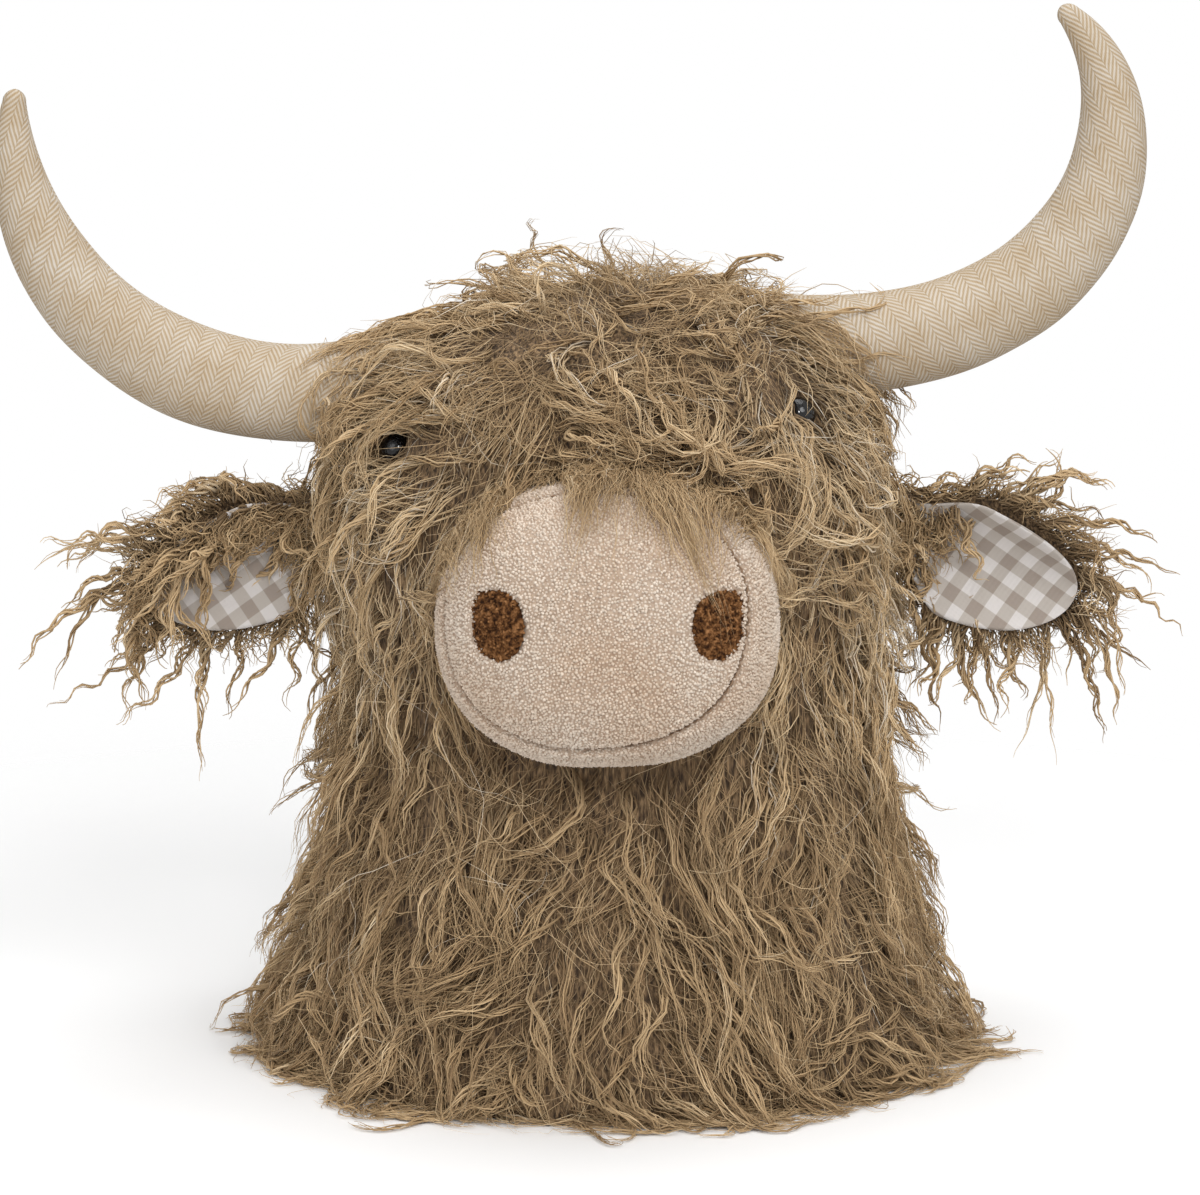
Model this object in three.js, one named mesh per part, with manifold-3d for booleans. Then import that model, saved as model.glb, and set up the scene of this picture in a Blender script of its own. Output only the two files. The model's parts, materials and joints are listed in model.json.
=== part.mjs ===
// A stuffed long-haired cow's head on a flat back, in millimetres.
// +Z is up and -Y is where the face looks; left and right are as seen from in front.
import * as THREE from "three";
import { mergeVertices } from "three/addons/utils/BufferGeometryUtils.js";
import Module from "manifold-3d";

const wasm = await Module();
wasm.setup();

// Fits: sewn neighbours, and the room round a piece that flexes
const GAP = 0.3;
const CLEARANCE = 0.5;

const SIDES = { left: -1, right: 1 };

// Bust, measured over the fur, from the standing surface up to the crown
const BASE_HALF_WIDTH = 146;
const BASE_FRONT = 128;
const NECK_HEIGHT = 150;
const NECK_HALF_WIDTH = 111;
const NECK_FRONT = 101;
const HEAD_HEIGHT = 215;
const HEAD_HALF_WIDTH = 118;
const HEAD_FRONT = 106;
const CROWN_HEIGHT = 326;
const CROWN_ROUNDNESS = 2.1;
const BASE_FLARE = 1.35;
const BACK_BULGE = 125;
const BACK_SQUARENESS = 2.8;
const BACK_Y = 85;

// The head is sewn on with a slight tilt, up on the right
const TILT = THREE.MathUtils.degToRad(5);
const TILT_START = 120;
const TILT_PIVOT = 200;

// Fur panels, with their seams
const PILE = 18;
const PANEL_HALF_WIDTH = 46;
const THROAT_SEAM_HEIGHT = 165;

// Flat back and base
const BACK_CLOTH = 2;
const BACK_BOARD = 5;
const BACK_HEM = 3;
const BASE_CLOTH = 2.5;

// Muzzle
const MUZZLE_X = -2;
const MUZZLE_Y = -102;
const MUZZLE_Z = 199;
const MUZZLE_HALF_WIDTH = 67;
const MUZZLE_HALF_HEIGHT = 56;
const MUZZLE_DEPTH = 58;
const MUZZLE_ROUNDNESS = 2.3;
const MUZZLE_PITCH = THREE.MathUtils.degToRad(4);
const MUZZLE_CLOTH = 2.2;
const MUZZLE_SEAM_DEPTH = 31;
const MUZZLE_SEAM_TURN = THREE.MathUtils.degToRad(5);
const NOSTRIL_SPACING = 84;
const NOSTRIL_RISE = 4;
const NOSTRIL_WIDTH = 20;
const NOSTRIL_HEIGHT = 27;
const NOSTRIL_RECESS = 0.7;

// Eyes, on a shank with a locking washer inside the head
const EYE_X = 82;
const EYE_Z = 266;
const EYE_INSET = 12;
const EYE_RADIUS = 7;
const EYE_DOME = 6;
const SHANK_RADIUS = 2.5;
const SHANK_PAST_WASHER = 2;
const WASHER_RADIUS = 8;
const WASHER_THICKNESS = 2;
const WASHER_SETBACK = 0.8;

// Horns, each bent by hand to its own curve
const HORN_X = 82;
const HORN_Y = 8;
const HORN_Z = 288;
const HORN_LENGTH = 229;
const HORN_ROOT_RADIUS = 20.6;
const HORN_TIP_RADIUS = 5.3;
const HORN_TAPER = 3.3;
const HORN_CLOTH = 1.6;
const HORN_FLEX = THREE.MathUtils.degToRad(10);
const HORN_ROOM = 1;
const HORN_CURVES = {
  left: { side: SIDES.left, start: -9.5, bend: 111, power: 1.17 },
  right: { side: SIDES.right, start: -5, bend: 135, power: 1.6 },
};

// Ears, with the hinge line a little way into the fur
const EAR_X = 110;
const EAR_Y = 4;
const EAR_Z = 227;
const EAR_LENGTH = 92;
const EAR_HALF_WIDTH = 29;
const EAR_ROOT_HALF_WIDTH = 12;
const EAR_WIDENS = 0.12;
const EAR_WIDEST = 0.45;
const EAR_THICKNESS = 7;
const EAR_EDGE = 3;
const EAR_CUP = 9;
const EAR_ROLL = THREE.MathUtils.degToRad(12);
const EAR_LINING = 1.6;
const EAR_LINING_MARGIN = 3;
const EAR_FORWARD = THREE.MathUtils.degToRad(40);
const EAR_BACKWARD = THREE.MathUtils.degToRad(25);
const EAR_DROOP = THREE.MathUtils.degToRad(24);

// Hanging loop of folded tape at the top of the back
const LOOP_WIDTH = 20;
const LOOP_TAPE = 1.8;
const LOOP_EYE_WIDTH = 6.4;
const LOOP_EYE_HEIGHT = 24;
const LOOP_STEM = 6;
const LOOP_SETBACK = 6.5;
const LOOP_SIDE_ROOM = 6;

// How finely round shapes are divided
const RING_POINTS = 32;
const BUST_STEPS = 8;
const DOME_STEPS = 6;
const MUZZLE_STEPS = 7;
const HORN_STEPS = 14;
const HORN_POINTS = 14;
const TIP_STEPS = 3;
const EAR_ROWS = 10;
const EAR_COLUMNS = 8;
const EAR_ROW_SPREAD = 1.5;
const LOOP_SEGMENTS = 6;
const FAR = 600;

const MATERIALS = {
  fur: cloth(0x967d5f),
  towelling: cloth(0xdecbb6),
  fleece: cloth(0x5c3a20),
  herringbone: cloth(0xd6c5ab),
  gingham: cloth(0xbdb5ac),
  felt: cloth(0x8a7458),
  tape: cloth(0xb79d78),
  filling: cloth(0xf2efe8),
  board: cloth(0xa98a62),
  glossBlack: new THREE.MeshStandardMaterial({ color: 0x0a0a0c, roughness: 0.08, metalness: 0 }),
  washerPlastic: new THREE.MeshStandardMaterial({ color: 0xe4e4e0, roughness: 0.5, metalness: 0 }),
};

function cloth(color) {
  return new THREE.MeshStandardMaterial({ color, roughness: 0.95, metalness: 0 });
}

// Meshes and solids

// One welded skin with its faces outwards, from triangles given as points
function weld(points) {
  const loose = new THREE.BufferGeometry().setFromPoints(points);
  const welded = mergeVertices(loose, 1e-4);
  const at = welded.attributes.position;
  const corners = [];
  let volume = 0;
  for (let i = 0; i < welded.index.count; i += 3) {
    const triple = [0, 1, 2].map((k) => welded.index.getX(i + k));
    if (new Set(triple).size < 3) continue;
    const [a, b, c] = triple.map((k) => new THREE.Vector3().fromBufferAttribute(at, k));
    volume += a.dot(b.cross(c));
    corners.push(triple);
  }
  const outward = volume > 0 ? corners : corners.map(([a, b, c]) => [a, c, b]);
  welded.setIndex(outward.flat());
  return welded;
}

function trianglesOf(geometry) {
  const loose = geometry.index ? geometry.toNonIndexed() : geometry;
  const at = loose.attributes.position;
  return Array.from({ length: at.count }, (_, i) => new THREE.Vector3().fromBufferAttribute(at, i));
}

function solid(geometry) {
  const skin = weld(trianglesOf(geometry));
  const mesh = new wasm.Mesh({
    numProp: 3,
    vertProperties: new Float32Array(skin.attributes.position.array),
    triVerts: new Uint32Array(skin.index.array),
  });
  mesh.merge();
  return new wasm.Manifold(mesh);
}

function skinOf(manifold) {
  const mesh = manifold.getMesh();
  const geometry = new THREE.BufferGeometry();
  const positions = new Float32Array(mesh.vertProperties);
  geometry.setAttribute("position", new THREE.BufferAttribute(positions, 3));
  geometry.setIndex(new THREE.BufferAttribute(new Uint32Array(mesh.triVerts), 1));
  return geometry;
}

// A mesh in its group; a cut solid comes in the bust's frame and is brought into the group's
function addPiece(group, name, shape, material) {
  let geometry = shape;
  if (!shape.isBufferGeometry) {
    group.updateWorldMatrix(true, false);
    geometry = skinOf(shape).applyMatrix4(group.matrixWorld.clone().invert());
  }
  geometry.computeVertexNormals();
  const mesh = new THREE.Mesh(geometry, material);
  mesh.name = name;
  group.add(mesh);
  return mesh;
}

// A solid in the bust's frame from a geometry in a group's frame
function placed(geometry, group) {
  group.updateWorldMatrix(true, false);
  return solid(geometry.clone().applyMatrix4(group.matrixWorld));
}

function cut(shape, ...cutters) {
  return cutters.reduce((rest, cutter) => rest.subtract(cutter), shape);
}

function quad(points, a, b, c, d) {
  points.push(a, b, c, a, c, d);
}

// A closed body through rings of points, with flat or pointed ends
function loft(rings) {
  const points = [];
  const count = rings[0].length;
  for (let i = 0; i + 1 < rings.length; i += 1) {
    for (let j = 0; j < count; j += 1) {
      const next = (j + 1) % count;
      quad(points, rings[i][j], rings[i][next], rings[i + 1][next], rings[i + 1][j]);
    }
  }
  const ends = [rings[0], [...rings[rings.length - 1]].reverse()];
  for (const ring of ends) {
    const middle = new THREE.Vector3();
    ring.forEach((point) => middle.addScaledVector(point, 1 / count));
    ring.forEach((point, j) => points.push(middle, ring[(j + 1) % count], point));
  }
  return weld(points);
}

// A closed sheet between two grids of points
function sheet(outer, inner) {
  const points = [];
  const last = outer.length - 1;
  const edge = outer[0].length - 1;
  for (let i = 0; i < last; i += 1) {
    for (let j = 0; j < edge; j += 1) {
      quad(points, outer[i][j], outer[i][j + 1], outer[i + 1][j + 1], outer[i + 1][j]);
      quad(points, inner[i][j], inner[i + 1][j], inner[i + 1][j + 1], inner[i][j + 1]);
    }
    quad(points, outer[i][0], outer[i + 1][0], inner[i + 1][0], inner[i][0]);
    quad(points, outer[i][edge], inner[i][edge], inner[i + 1][edge], outer[i + 1][edge]);
  }
  for (let j = 0; j < edge; j += 1) {
    quad(points, outer[0][j], inner[0][j], inner[0][j + 1], outer[0][j + 1]);
    quad(points, outer[last][j], outer[last][j + 1], inner[last][j + 1], inner[last][j]);
  }
  return weld(points);
}

function box(min, max) {
  const size = max.map((value, k) => value - min[k]);
  const middle = max.map((value, k) => (value + min[k]) / 2);
  return new THREE.BoxGeometry(...size).translate(...middle);
}

// The part of the bust's frame between two corners
function region({ x = [-FAR, FAR], y = [-FAR, FAR], z = [-FAR, FAR] }) {
  return solid(box([x[0], y[0], z[0]], [x[1], y[1], z[1]]));
}

function ease(value) {
  const t = THREE.MathUtils.clamp(value, 0, 1);
  return t * t * (3 - 2 * t);
}

function power(value, exponent) {
  return Math.sign(value) * Math.abs(value) ** exponent;
}

// Bust

// Half-width and front depth below the dome of the crown
function trunk(height, baseSize, neckSize, headSize) {
  if (height < NECK_HEIGHT) {
    return neckSize + (baseSize - neckSize) * (1 - height / NECK_HEIGHT) ** BASE_FLARE;
  }
  return neckSize + (headSize - neckSize) * ease((height - NECK_HEIGHT) / (HEAD_HEIGHT - NECK_HEIGHT));
}

// The bust's section at a height, drawn in by an inset from the fur's surface
function section(height, inset) {
  const rise = Math.max(0, (height - HEAD_HEIGHT) / (CROWN_HEIGHT - inset - HEAD_HEIGHT));
  const dome = (1 - Math.min(rise, 1) ** CROWN_ROUNDNESS) ** (1 / CROWN_ROUNDNESS);
  return {
    halfWidth: dome * (trunk(height, BASE_HALF_WIDTH, NECK_HALF_WIDTH, HEAD_HALF_WIDTH) - inset),
    front: dome * (trunk(height, BASE_FRONT, NECK_FRONT, HEAD_FRONT) - inset),
    back: dome * (BACK_BULGE - inset),
  };
}

// The height at which the back of the dome reaches a depth
function backTop(depth, inset) {
  const dome = depth / (BACK_BULGE - inset);
  const rise = (1 - dome ** CROWN_ROUNDNESS) ** (1 / CROWN_ROUNDNESS);
  return HEAD_HEIGHT + (CROWN_HEIGHT - inset - HEAD_HEIGHT) * rise;
}

function tilted(point) {
  const angle = TILT * ease((point.z - TILT_START) / (TILT_PIVOT - TILT_START));
  const up = point.z - TILT_PIVOT;
  const x = point.x * Math.cos(angle) - up * Math.sin(angle);
  const z = TILT_PIVOT + up * Math.cos(angle) + point.x * Math.sin(angle);
  return new THREE.Vector3(x, point.y, z);
}

function bustRing(height, inset) {
  const { halfWidth, front, back } = section(height, inset);
  return Array.from({ length: RING_POINTS }, (_, i) => {
    const angle = (2 * Math.PI * i) / RING_POINTS;
    const behind = Math.sin(angle) > 0;
    const shape = behind ? 2 / BACK_SQUARENESS : 1;
    const x = halfWidth * power(Math.cos(angle), shape);
    const y = (behind ? back : front) * power(Math.sin(angle), shape);
    return tilted(new THREE.Vector3(x, y, height));
  });
}

// The bust drawn in by an inset, from just below the standing surface to the crown
function bust(inset) {
  const foot = -BASE_CLOTH;
  const top = CROWN_HEIGHT - inset;
  const rings = [];
  for (let i = 0; i < BUST_STEPS; i += 1) {
    rings.push(bustRing(foot + ((HEAD_HEIGHT - foot) * i) / BUST_STEPS, inset));
  }
  for (let i = 0; i <= DOME_STEPS; i += 1) {
    const rise = Math.sin((Math.PI / 2) * (i / DOME_STEPS)) ** (2 / CROWN_ROUNDNESS);
    rings.push(bustRing(HEAD_HEIGHT + (top - HEAD_HEIGHT) * rise, inset));
  }
  return solid(loft(rings));
}

// Groups

const root = new THREE.Group();
const head = new THREE.Group();
head.position.z = TILT_PIVOT;
head.rotation.y = -TILT;
root.add(head);

const muzzle = new THREE.Group();
muzzle.position.set(MUZZLE_X, MUZZLE_Y, MUZZLE_Z);
muzzle.rotation.x = -MUZZLE_PITCH;
root.add(muzzle);

// Muzzle

// The muzzle's outline drawn in by an inset, at a depth forward of its widest section
function muzzleRing(scale, depth, inset) {
  return Array.from({ length: RING_POINTS }, (_, i) => {
    const angle = (2 * Math.PI * i) / RING_POINTS;
    const x = (MUZZLE_HALF_WIDTH - inset) * power(Math.cos(angle), 2 / MUZZLE_ROUNDNESS);
    const z = (MUZZLE_HALF_HEIGHT - inset) * power(Math.sin(angle), 2 / MUZZLE_ROUNDNESS);
    return new THREE.Vector3(scale * x, -depth, scale * z);
  });
}

function muzzleForm(inset) {
  const rings = [muzzleRing(1, -HEAD_FRONT, inset)];
  for (let i = 0; i <= MUZZLE_STEPS; i += 1) {
    const angle = (Math.PI / 2) * (i / MUZZLE_STEPS);
    const scale = Math.cos(angle) ** (2 / MUZZLE_ROUNDNESS);
    const depth = (MUZZLE_DEPTH - inset) * Math.sin(angle) ** (2 / MUZZLE_ROUNDNESS);
    rings.push(muzzleRing(scale, depth, inset));
  }
  return placed(loft(rings), muzzle);
}

// Everything in front of the sewn edge of the front panel, moved by an offset
function muzzleFront(offset) {
  const ahead = box([-FAR, -FAR, -FAR], [FAR, offset, FAR]);
  ahead.rotateZ(-MUZZLE_SEAM_TURN).translate(0, -MUZZLE_SEAM_DEPTH, 0);
  return placed(ahead, muzzle);
}

function nostrilHole(sign, margin) {
  const hole = new THREE.CylinderGeometry(0.5, 0.5, 2 * MUZZLE_DEPTH, RING_POINTS / 2);
  hole.scale(NOSTRIL_WIDTH + 2 * margin, 1, NOSTRIL_HEIGHT + 2 * margin);
  hole.translate((sign * NOSTRIL_SPACING) / 2, -MUZZLE_DEPTH, NOSTRIL_RISE);
  return placed(hole, muzzle);
}

function addMuzzle() {
  const behind = bust(PILE - GAP);
  const cover = cut(muzzleForm(0), muzzleForm(MUZZLE_CLOTH), behind);
  const holes = Object.values(SIDES).map((sign) => nostrilHole(sign, 0));
  const front = cut(cover.intersect(muzzleFront(-GAP / 2)), ...holes);
  addPiece(muzzle, "muzzle_front_panel", front, MATERIALS.towelling);
  addPiece(muzzle, "muzzle_gusset", cut(cover, muzzleFront(GAP / 2)), MATERIALS.towelling);
  addPiece(muzzle, "muzzle_filling", cut(muzzleForm(MUZZLE_CLOTH + GAP), behind), MATERIALS.filling);
  const backing = cut(muzzleForm(NOSTRIL_RECESS), muzzleForm(MUZZLE_CLOTH));
  for (const [side, sign] of Object.entries(SIDES)) {
    addPiece(muzzle, `nostril_${side}`, backing.intersect(nostrilHole(sign, -GAP)), MATERIALS.fleece);
  }
}

// Eyes

// The point of the bust's front at a place, and the way it faces, in the head's frame
function frontPoint(x, height, inset) {
  const at = (h) => {
    const { halfWidth, front } = section(h, inset);
    return -front * Math.sqrt(1 - (x / halfWidth) ** 2);
  };
  const step = 0.5;
  const here = section(height, inset);
  const y = at(height);
  const rise = (at(height + step) - at(height - step)) / (2 * step);
  const across = (-(here.front ** 2) * x) / (here.halfWidth ** 2 * y);
  const normal = new THREE.Vector3(across, -1, rise).normalize();
  return { point: new THREE.Vector3(x, y, height - TILT_PIVOT), normal };
}

function turned(...profile) {
  return new THREE.LatheGeometry(profile.map(([r, h]) => new THREE.Vector2(r, h)), RING_POINTS / 2);
}

function eyeProfile() {
  const dome = [];
  for (let i = 0; i <= DOME_STEPS; i += 1) {
    const angle = (Math.PI / 2) * (i / DOME_STEPS);
    dome.push([EYE_RADIUS * Math.cos(angle), EYE_DOME * Math.sin(angle)]);
  }
  dome[DOME_STEPS][0] = 0;
  return dome;
}

const WASHER_FACE = -(PILE - EYE_INSET) - WASHER_SETBACK;
const WASHER_BACK = WASHER_FACE - WASHER_THICKNESS;
const SHANK_END = WASHER_BACK - SHANK_PAST_WASHER;

function addEye(side) {
  const eye = new THREE.Group();
  const { point, normal } = frontPoint(SIDES[side] * EYE_X, EYE_Z, EYE_INSET);
  eye.position.copy(point);
  eye.quaternion.setFromUnitVectors(new THREE.Vector3(0, 1, 0), normal);
  head.add(eye);
  const shank = [[SHANK_RADIUS, 0], [SHANK_RADIUS, SHANK_END], [0, SHANK_END]];
  const button = turned(...[...eyeProfile()].reverse(), ...shank);
  const bore = SHANK_RADIUS + GAP;
  const ring = turned([bore, WASHER_FACE], [WASHER_RADIUS, WASHER_FACE], [WASHER_RADIUS, WASHER_BACK],
    [bore, WASHER_BACK], [bore, WASHER_FACE]);
  addPiece(eye, `eye_${side}`, weld(trianglesOf(button)), MATERIALS.glossBlack);
  addPiece(eye, `eye_washer_${side}`, weld(trianglesOf(ring)), MATERIALS.washerPlastic);
  const socket = EYE_RADIUS + GAP;
  const opening = turned([0, 2 * PILE], [socket, 2 * PILE], [socket, -GAP], [bore, -GAP],
    [bore, SHANK_END - GAP], [0, SHANK_END - GAP]);
  const pocket = WASHER_RADIUS + GAP;
  const seat = turned([0, WASHER_FACE + GAP], [pocket, WASHER_FACE + GAP], [pocket, WASHER_BACK - GAP],
    [0, WASHER_BACK - GAP]);
  return { opening: placed(opening, eye), seat: placed(seat, eye) };
}

// Horns

// Sections along a horn, drawn in by an inset, with a ball end at the root and at the tip
function hornSections({ side, start, bend, power: bendPower }, inset) {
  const sections = [];
  const centre = new THREE.Vector3();
  const heading = (s) => THREE.MathUtils.degToRad(start + bend * s ** bendPower);
  const add = (angle, along, radius) => {
    const forward = new THREE.Vector3(side * Math.cos(angle), 0, Math.sin(angle));
    const up = new THREE.Vector3(-side * Math.sin(angle), 0, Math.cos(angle));
    sections.push({ middle: centre.clone().addScaledVector(forward, along), up, radius });
  };
  const ball = (size, from, to) => {
    const angle = from < 0 ? heading(0) : heading(1);
    for (let i = 0; i <= TIP_STEPS; i += 1) {
      const turn = THREE.MathUtils.lerp(from, to, i / TIP_STEPS);
      const radius = Math.abs(turn) === 90 ? 0 : size * Math.cos(THREE.MathUtils.degToRad(turn));
      add(angle, size * Math.sin(THREE.MathUtils.degToRad(turn)), radius);
    }
  };
  ball(HORN_ROOT_RADIUS - inset, -90, 0);
  const step = HORN_LENGTH / HORN_STEPS;
  for (let i = 1; i < HORN_STEPS; i += 1) {
    const middle = heading((i - 0.5) / HORN_STEPS);
    centre.x += side * step * Math.cos(middle);
    centre.z += step * Math.sin(middle);
    const taper = 1 - (i / HORN_STEPS) ** HORN_TAPER;
    const radius = HORN_TIP_RADIUS + (HORN_ROOT_RADIUS - HORN_TIP_RADIUS) * taper;
    add(heading(i / HORN_STEPS), 0, radius - inset);
  }
  const last = heading((HORN_STEPS - 0.5) / HORN_STEPS);
  centre.x += side * step * Math.cos(last);
  centre.z += step * Math.sin(last);
  ball(HORN_TIP_RADIUS - inset, 0, 90);
  return sections;
}

// Points round a horn's section, from one angle to another; half a turn covers the front
function hornArc({ middle, up, radius }, from, to, count) {
  const back = new THREE.Vector3(0, 1, 0);
  return Array.from({ length: count }, (_, i) => {
    const angle = THREE.MathUtils.lerp(from, to, i / (count - 1));
    const point = middle.clone().addScaledVector(up, radius * Math.cos(angle));
    return point.addScaledVector(back, radius * Math.sin(angle));
  });
}

function hornForm(curve, inset) {
  const ring = (each) => hornArc(each, 0, 2 * Math.PI, HORN_POINTS + 1).slice(1);
  return loft(hornSections(curve, inset).map(ring));
}

// One half of a horn's cover, open at the root where it is turned in
function hornPanel(curve, from, to) {
  const seam = GAP / 2 / HORN_ROOT_RADIUS;
  const half = (inset) => hornSections(curve, inset).slice(1)
    .map((each) => hornArc(each, from + seam, to - seam, HORN_POINTS / 2 + 1));
  return sheet(half(0), half(HORN_CLOTH));
}

function addHorn(side) {
  const curve = HORN_CURVES[side];
  const horn = new THREE.Group();
  horn.position.set(curve.side * HORN_X, HORN_Y, HORN_Z - TILT_PIVOT);
  head.add(horn);
  addPiece(horn, `horn_${side}_front_panel`, hornPanel(curve, -Math.PI, 0), MATERIALS.herringbone);
  addPiece(horn, `horn_${side}_back_panel`, hornPanel(curve, 0, Math.PI), MATERIALS.herringbone);
  const filling = hornForm(curve, HORN_CLOTH + GAP);
  addPiece(horn, `horn_${side}_filling`, filling, MATERIALS.filling);
  return placed(hornRoomForm(curve), horn);
}

// The room a horn's root takes as it flexes up and down about its pivot: it flares with the distance
function hornRoomForm(curve) {
  const reach = hornSections(curve, -HORN_ROOM).slice(0, HORN_STEPS / 2);
  const turn = Math.PI / HORN_POINTS;
  const back = new THREE.Vector3(0, 1, 0);
  const rings = reach.map(({ middle, up, radius }) => {
    const flare = Math.max(0, middle.x * curve.side) * Math.tan(HORN_FLEX);
    return Array.from({ length: HORN_POINTS }, (_, i) => {
      const angle = (2 * i + 1) * turn;
      const height = (radius / Math.cos(turn)) * Math.cos(angle) + Math.sign(Math.cos(angle)) * flare;
      const point = middle.clone().addScaledVector(up, height);
      return point.addScaledVector(back, (radius / Math.cos(turn)) * Math.sin(angle));
    });
  });
  return loft(rings);
}

// Ears

function earHalfWidth(s) {
  if (s < EAR_WIDEST) {
    const opening = ease((s - EAR_WIDENS) / (EAR_WIDEST - EAR_WIDENS));
    return EAR_ROOT_HALF_WIDTH + (EAR_HALF_WIDTH - EAR_ROOT_HALF_WIDTH) * opening;
  }
  const past = (s - EAR_WIDEST) / (1 - EAR_WIDEST);
  return EAR_HALF_WIDTH * Math.sqrt(Math.max(0, 1 - past ** 2));
}

// How far the ear's front face lies forward: it is cupped across its width
function earFront(along, across) {
  const cup = EAR_CUP * Math.sin((Math.PI / 2) * Math.min(1, along / (EAR_WIDEST * EAR_LENGTH)));
  return -EAR_THICKNESS / 2 - cup * (across / EAR_HALF_WIDTH) ** 2;
}

// A grid over the ear, set back from its front face and in from its edge
function earGrid(side, margin, depth) {
  const shrink = 1 - margin / EAR_HALF_WIDTH;
  const rows = [];
  for (let i = 0; i <= EAR_ROWS; i += 1) {
    const s = 1 - (1 - i / EAR_ROWS) ** EAR_ROW_SPREAD;
    const along = margin + (EAR_LENGTH - 2 * margin) * s;
    const row = [];
    for (let j = 0; j <= EAR_COLUMNS; j += 1) {
      const t = (2 * j) / EAR_COLUMNS - 1;
      const across = shrink * earHalfWidth(s) * t;
      row.push(new THREE.Vector3(side * along, earFront(along, across) + depth(s, t), across));
    }
    rows.push(row);
  }
  return rows;
}

function earThickness(s, t) {
  const round = Math.sqrt(Math.max(0, 1 - t ** 2)) * Math.sqrt(1 - s ** 2);
  return EAR_EDGE + (EAR_THICKNESS - EAR_EDGE) * round;
}

function addEar(side) {
  const sign = SIDES[side];
  const ear = new THREE.Group();
  ear.position.set(sign * EAR_X, EAR_Y, EAR_Z);
  ear.rotation.set(EAR_ROLL, sign * EAR_DROOP, 0, "YXZ");
  root.add(ear);
  const back = sheet(earGrid(sign, 0, earThickness), earGrid(sign, 0, () => 0));
  addPiece(ear, `ear_${side}_fur_panel`, back, MATERIALS.fur);
  const face = earGrid(sign, EAR_LINING_MARGIN, () => -CLEARANCE);
  const lining = sheet(face, earGrid(sign, EAR_LINING_MARGIN, () => -CLEARANCE - EAR_LINING));
  addPiece(ear, `ear_${side}_lining`, lining, MATERIALS.gingham);
  return earRoomForm(sign, ear);
}

// The room an ear's root takes as it flaps: from its face turned forwards to its back turned backwards
function earRoomForm(sign, ear) {
  const faceDepth = -EAR_LINING - 2 * CLEARANCE;
  const backDepth = EAR_THICKNESS + CLEARANCE;
  const turnedGrid = (depth, angle) => earGrid(sign, -CLEARANCE, () => depth).slice(0, EAR_ROWS / 2)
    .map((row) => row.map((point) => point.applyAxisAngle(new THREE.Vector3(0, 0, 1), sign * angle)));
  const fan = sheet(turnedGrid(backDepth, EAR_BACKWARD), turnedGrid(faceDepth, -EAR_FORWARD));
  const radius = EAR_THICKNESS / 2 - faceDepth;
  const height = 2 * (EAR_ROOT_HALF_WIDTH + GAP);
  const hub = new THREE.CylinderGeometry(radius, radius, height, RING_POINTS / 2).rotateX(Math.PI / 2);
  return placed(fan, ear).add(placed(hub, ear));
}

// Hanging loop

const LOOP_HINGE_RADIUS = LOOP_TAPE;
const LOOP_Y = BACK_Y - LOOP_SETBACK;
const LOOP_Z = backTop(LOOP_Y, PILE) + CLEARANCE + LOOP_HINGE_RADIUS;
const LOOP_EYE_FOOT = LOOP_STEM + LOOP_EYE_WIDTH / 2;
const LOOP_EYE_TOP = LOOP_STEM + LOOP_EYE_HEIGHT - LOOP_EYE_WIDTH / 2;

// The folded tape seen from its side: a sewn stem that opens round the eye
function loopOutline() {
  const half = LOOP_EYE_WIDTH / 2 + LOOP_TAPE;
  const outline = new THREE.Shape();
  outline.absarc(0, 0, LOOP_HINGE_RADIUS, Math.PI, 2 * Math.PI, false);
  outline.lineTo(LOOP_HINGE_RADIUS, LOOP_STEM / 2);
  outline.lineTo(half, LOOP_EYE_FOOT + LOOP_TAPE);
  outline.absarc(0, LOOP_EYE_TOP, half, 0, Math.PI, false);
  outline.lineTo(-half, LOOP_EYE_FOOT + LOOP_TAPE);
  outline.lineTo(-LOOP_HINGE_RADIUS, LOOP_STEM / 2);
  outline.closePath();
  const eye = new THREE.Path();
  eye.absarc(0, LOOP_EYE_FOOT, LOOP_EYE_WIDTH / 2, Math.PI, 2 * Math.PI, false);
  eye.absarc(0, LOOP_EYE_TOP, LOOP_EYE_WIDTH / 2, 0, Math.PI, false);
  eye.closePath();
  outline.holes.push(eye);
  return outline;
}

function addLoop() {
  const loop = new THREE.Group();
  loop.position.set(0, LOOP_Y, LOOP_Z - TILT_PIVOT);
  head.add(loop);
  const options = { depth: LOOP_WIDTH, bevelEnabled: false, curveSegments: LOOP_SEGMENTS };
  const form = new THREE.ExtrudeGeometry(loopOutline(), options);
  form.translate(0, 0, -LOOP_WIDTH / 2).rotateY(Math.PI / 2).rotateX(Math.PI / 2);
  addPiece(loop, "hanging_loop", weld(trianglesOf(form)), MATERIALS.tape);
  const halfGap = LOOP_WIDTH / 2 + LOOP_SIDE_ROOM;
  const ahead = LOOP_EYE_WIDTH / 2 + LOOP_TAPE + CLEARANCE;
  return placed(box([-halfGap, -ahead, -FAR], [halfGap, FAR, FAR]), loop);
}

// Covers, filling, board and base

const COVER_BACK = BACK_Y - BACK_CLOTH - GAP;
const FILLING_BACK = COVER_BACK - BACK_BOARD - GAP;
const FILLING_FOOT = BASE_CLOTH + GAP;

addMuzzle();
const muzzleRoom = muzzleForm(-GAP);
const eyes = { left: addEye("left"), right: addEye("right") };
const hornRoom = { left: addHorn("left"), right: addHorn("right") };
const earRoom = { left: addEar("left"), right: addEar("right") };
const loopRoom = addLoop();

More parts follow.
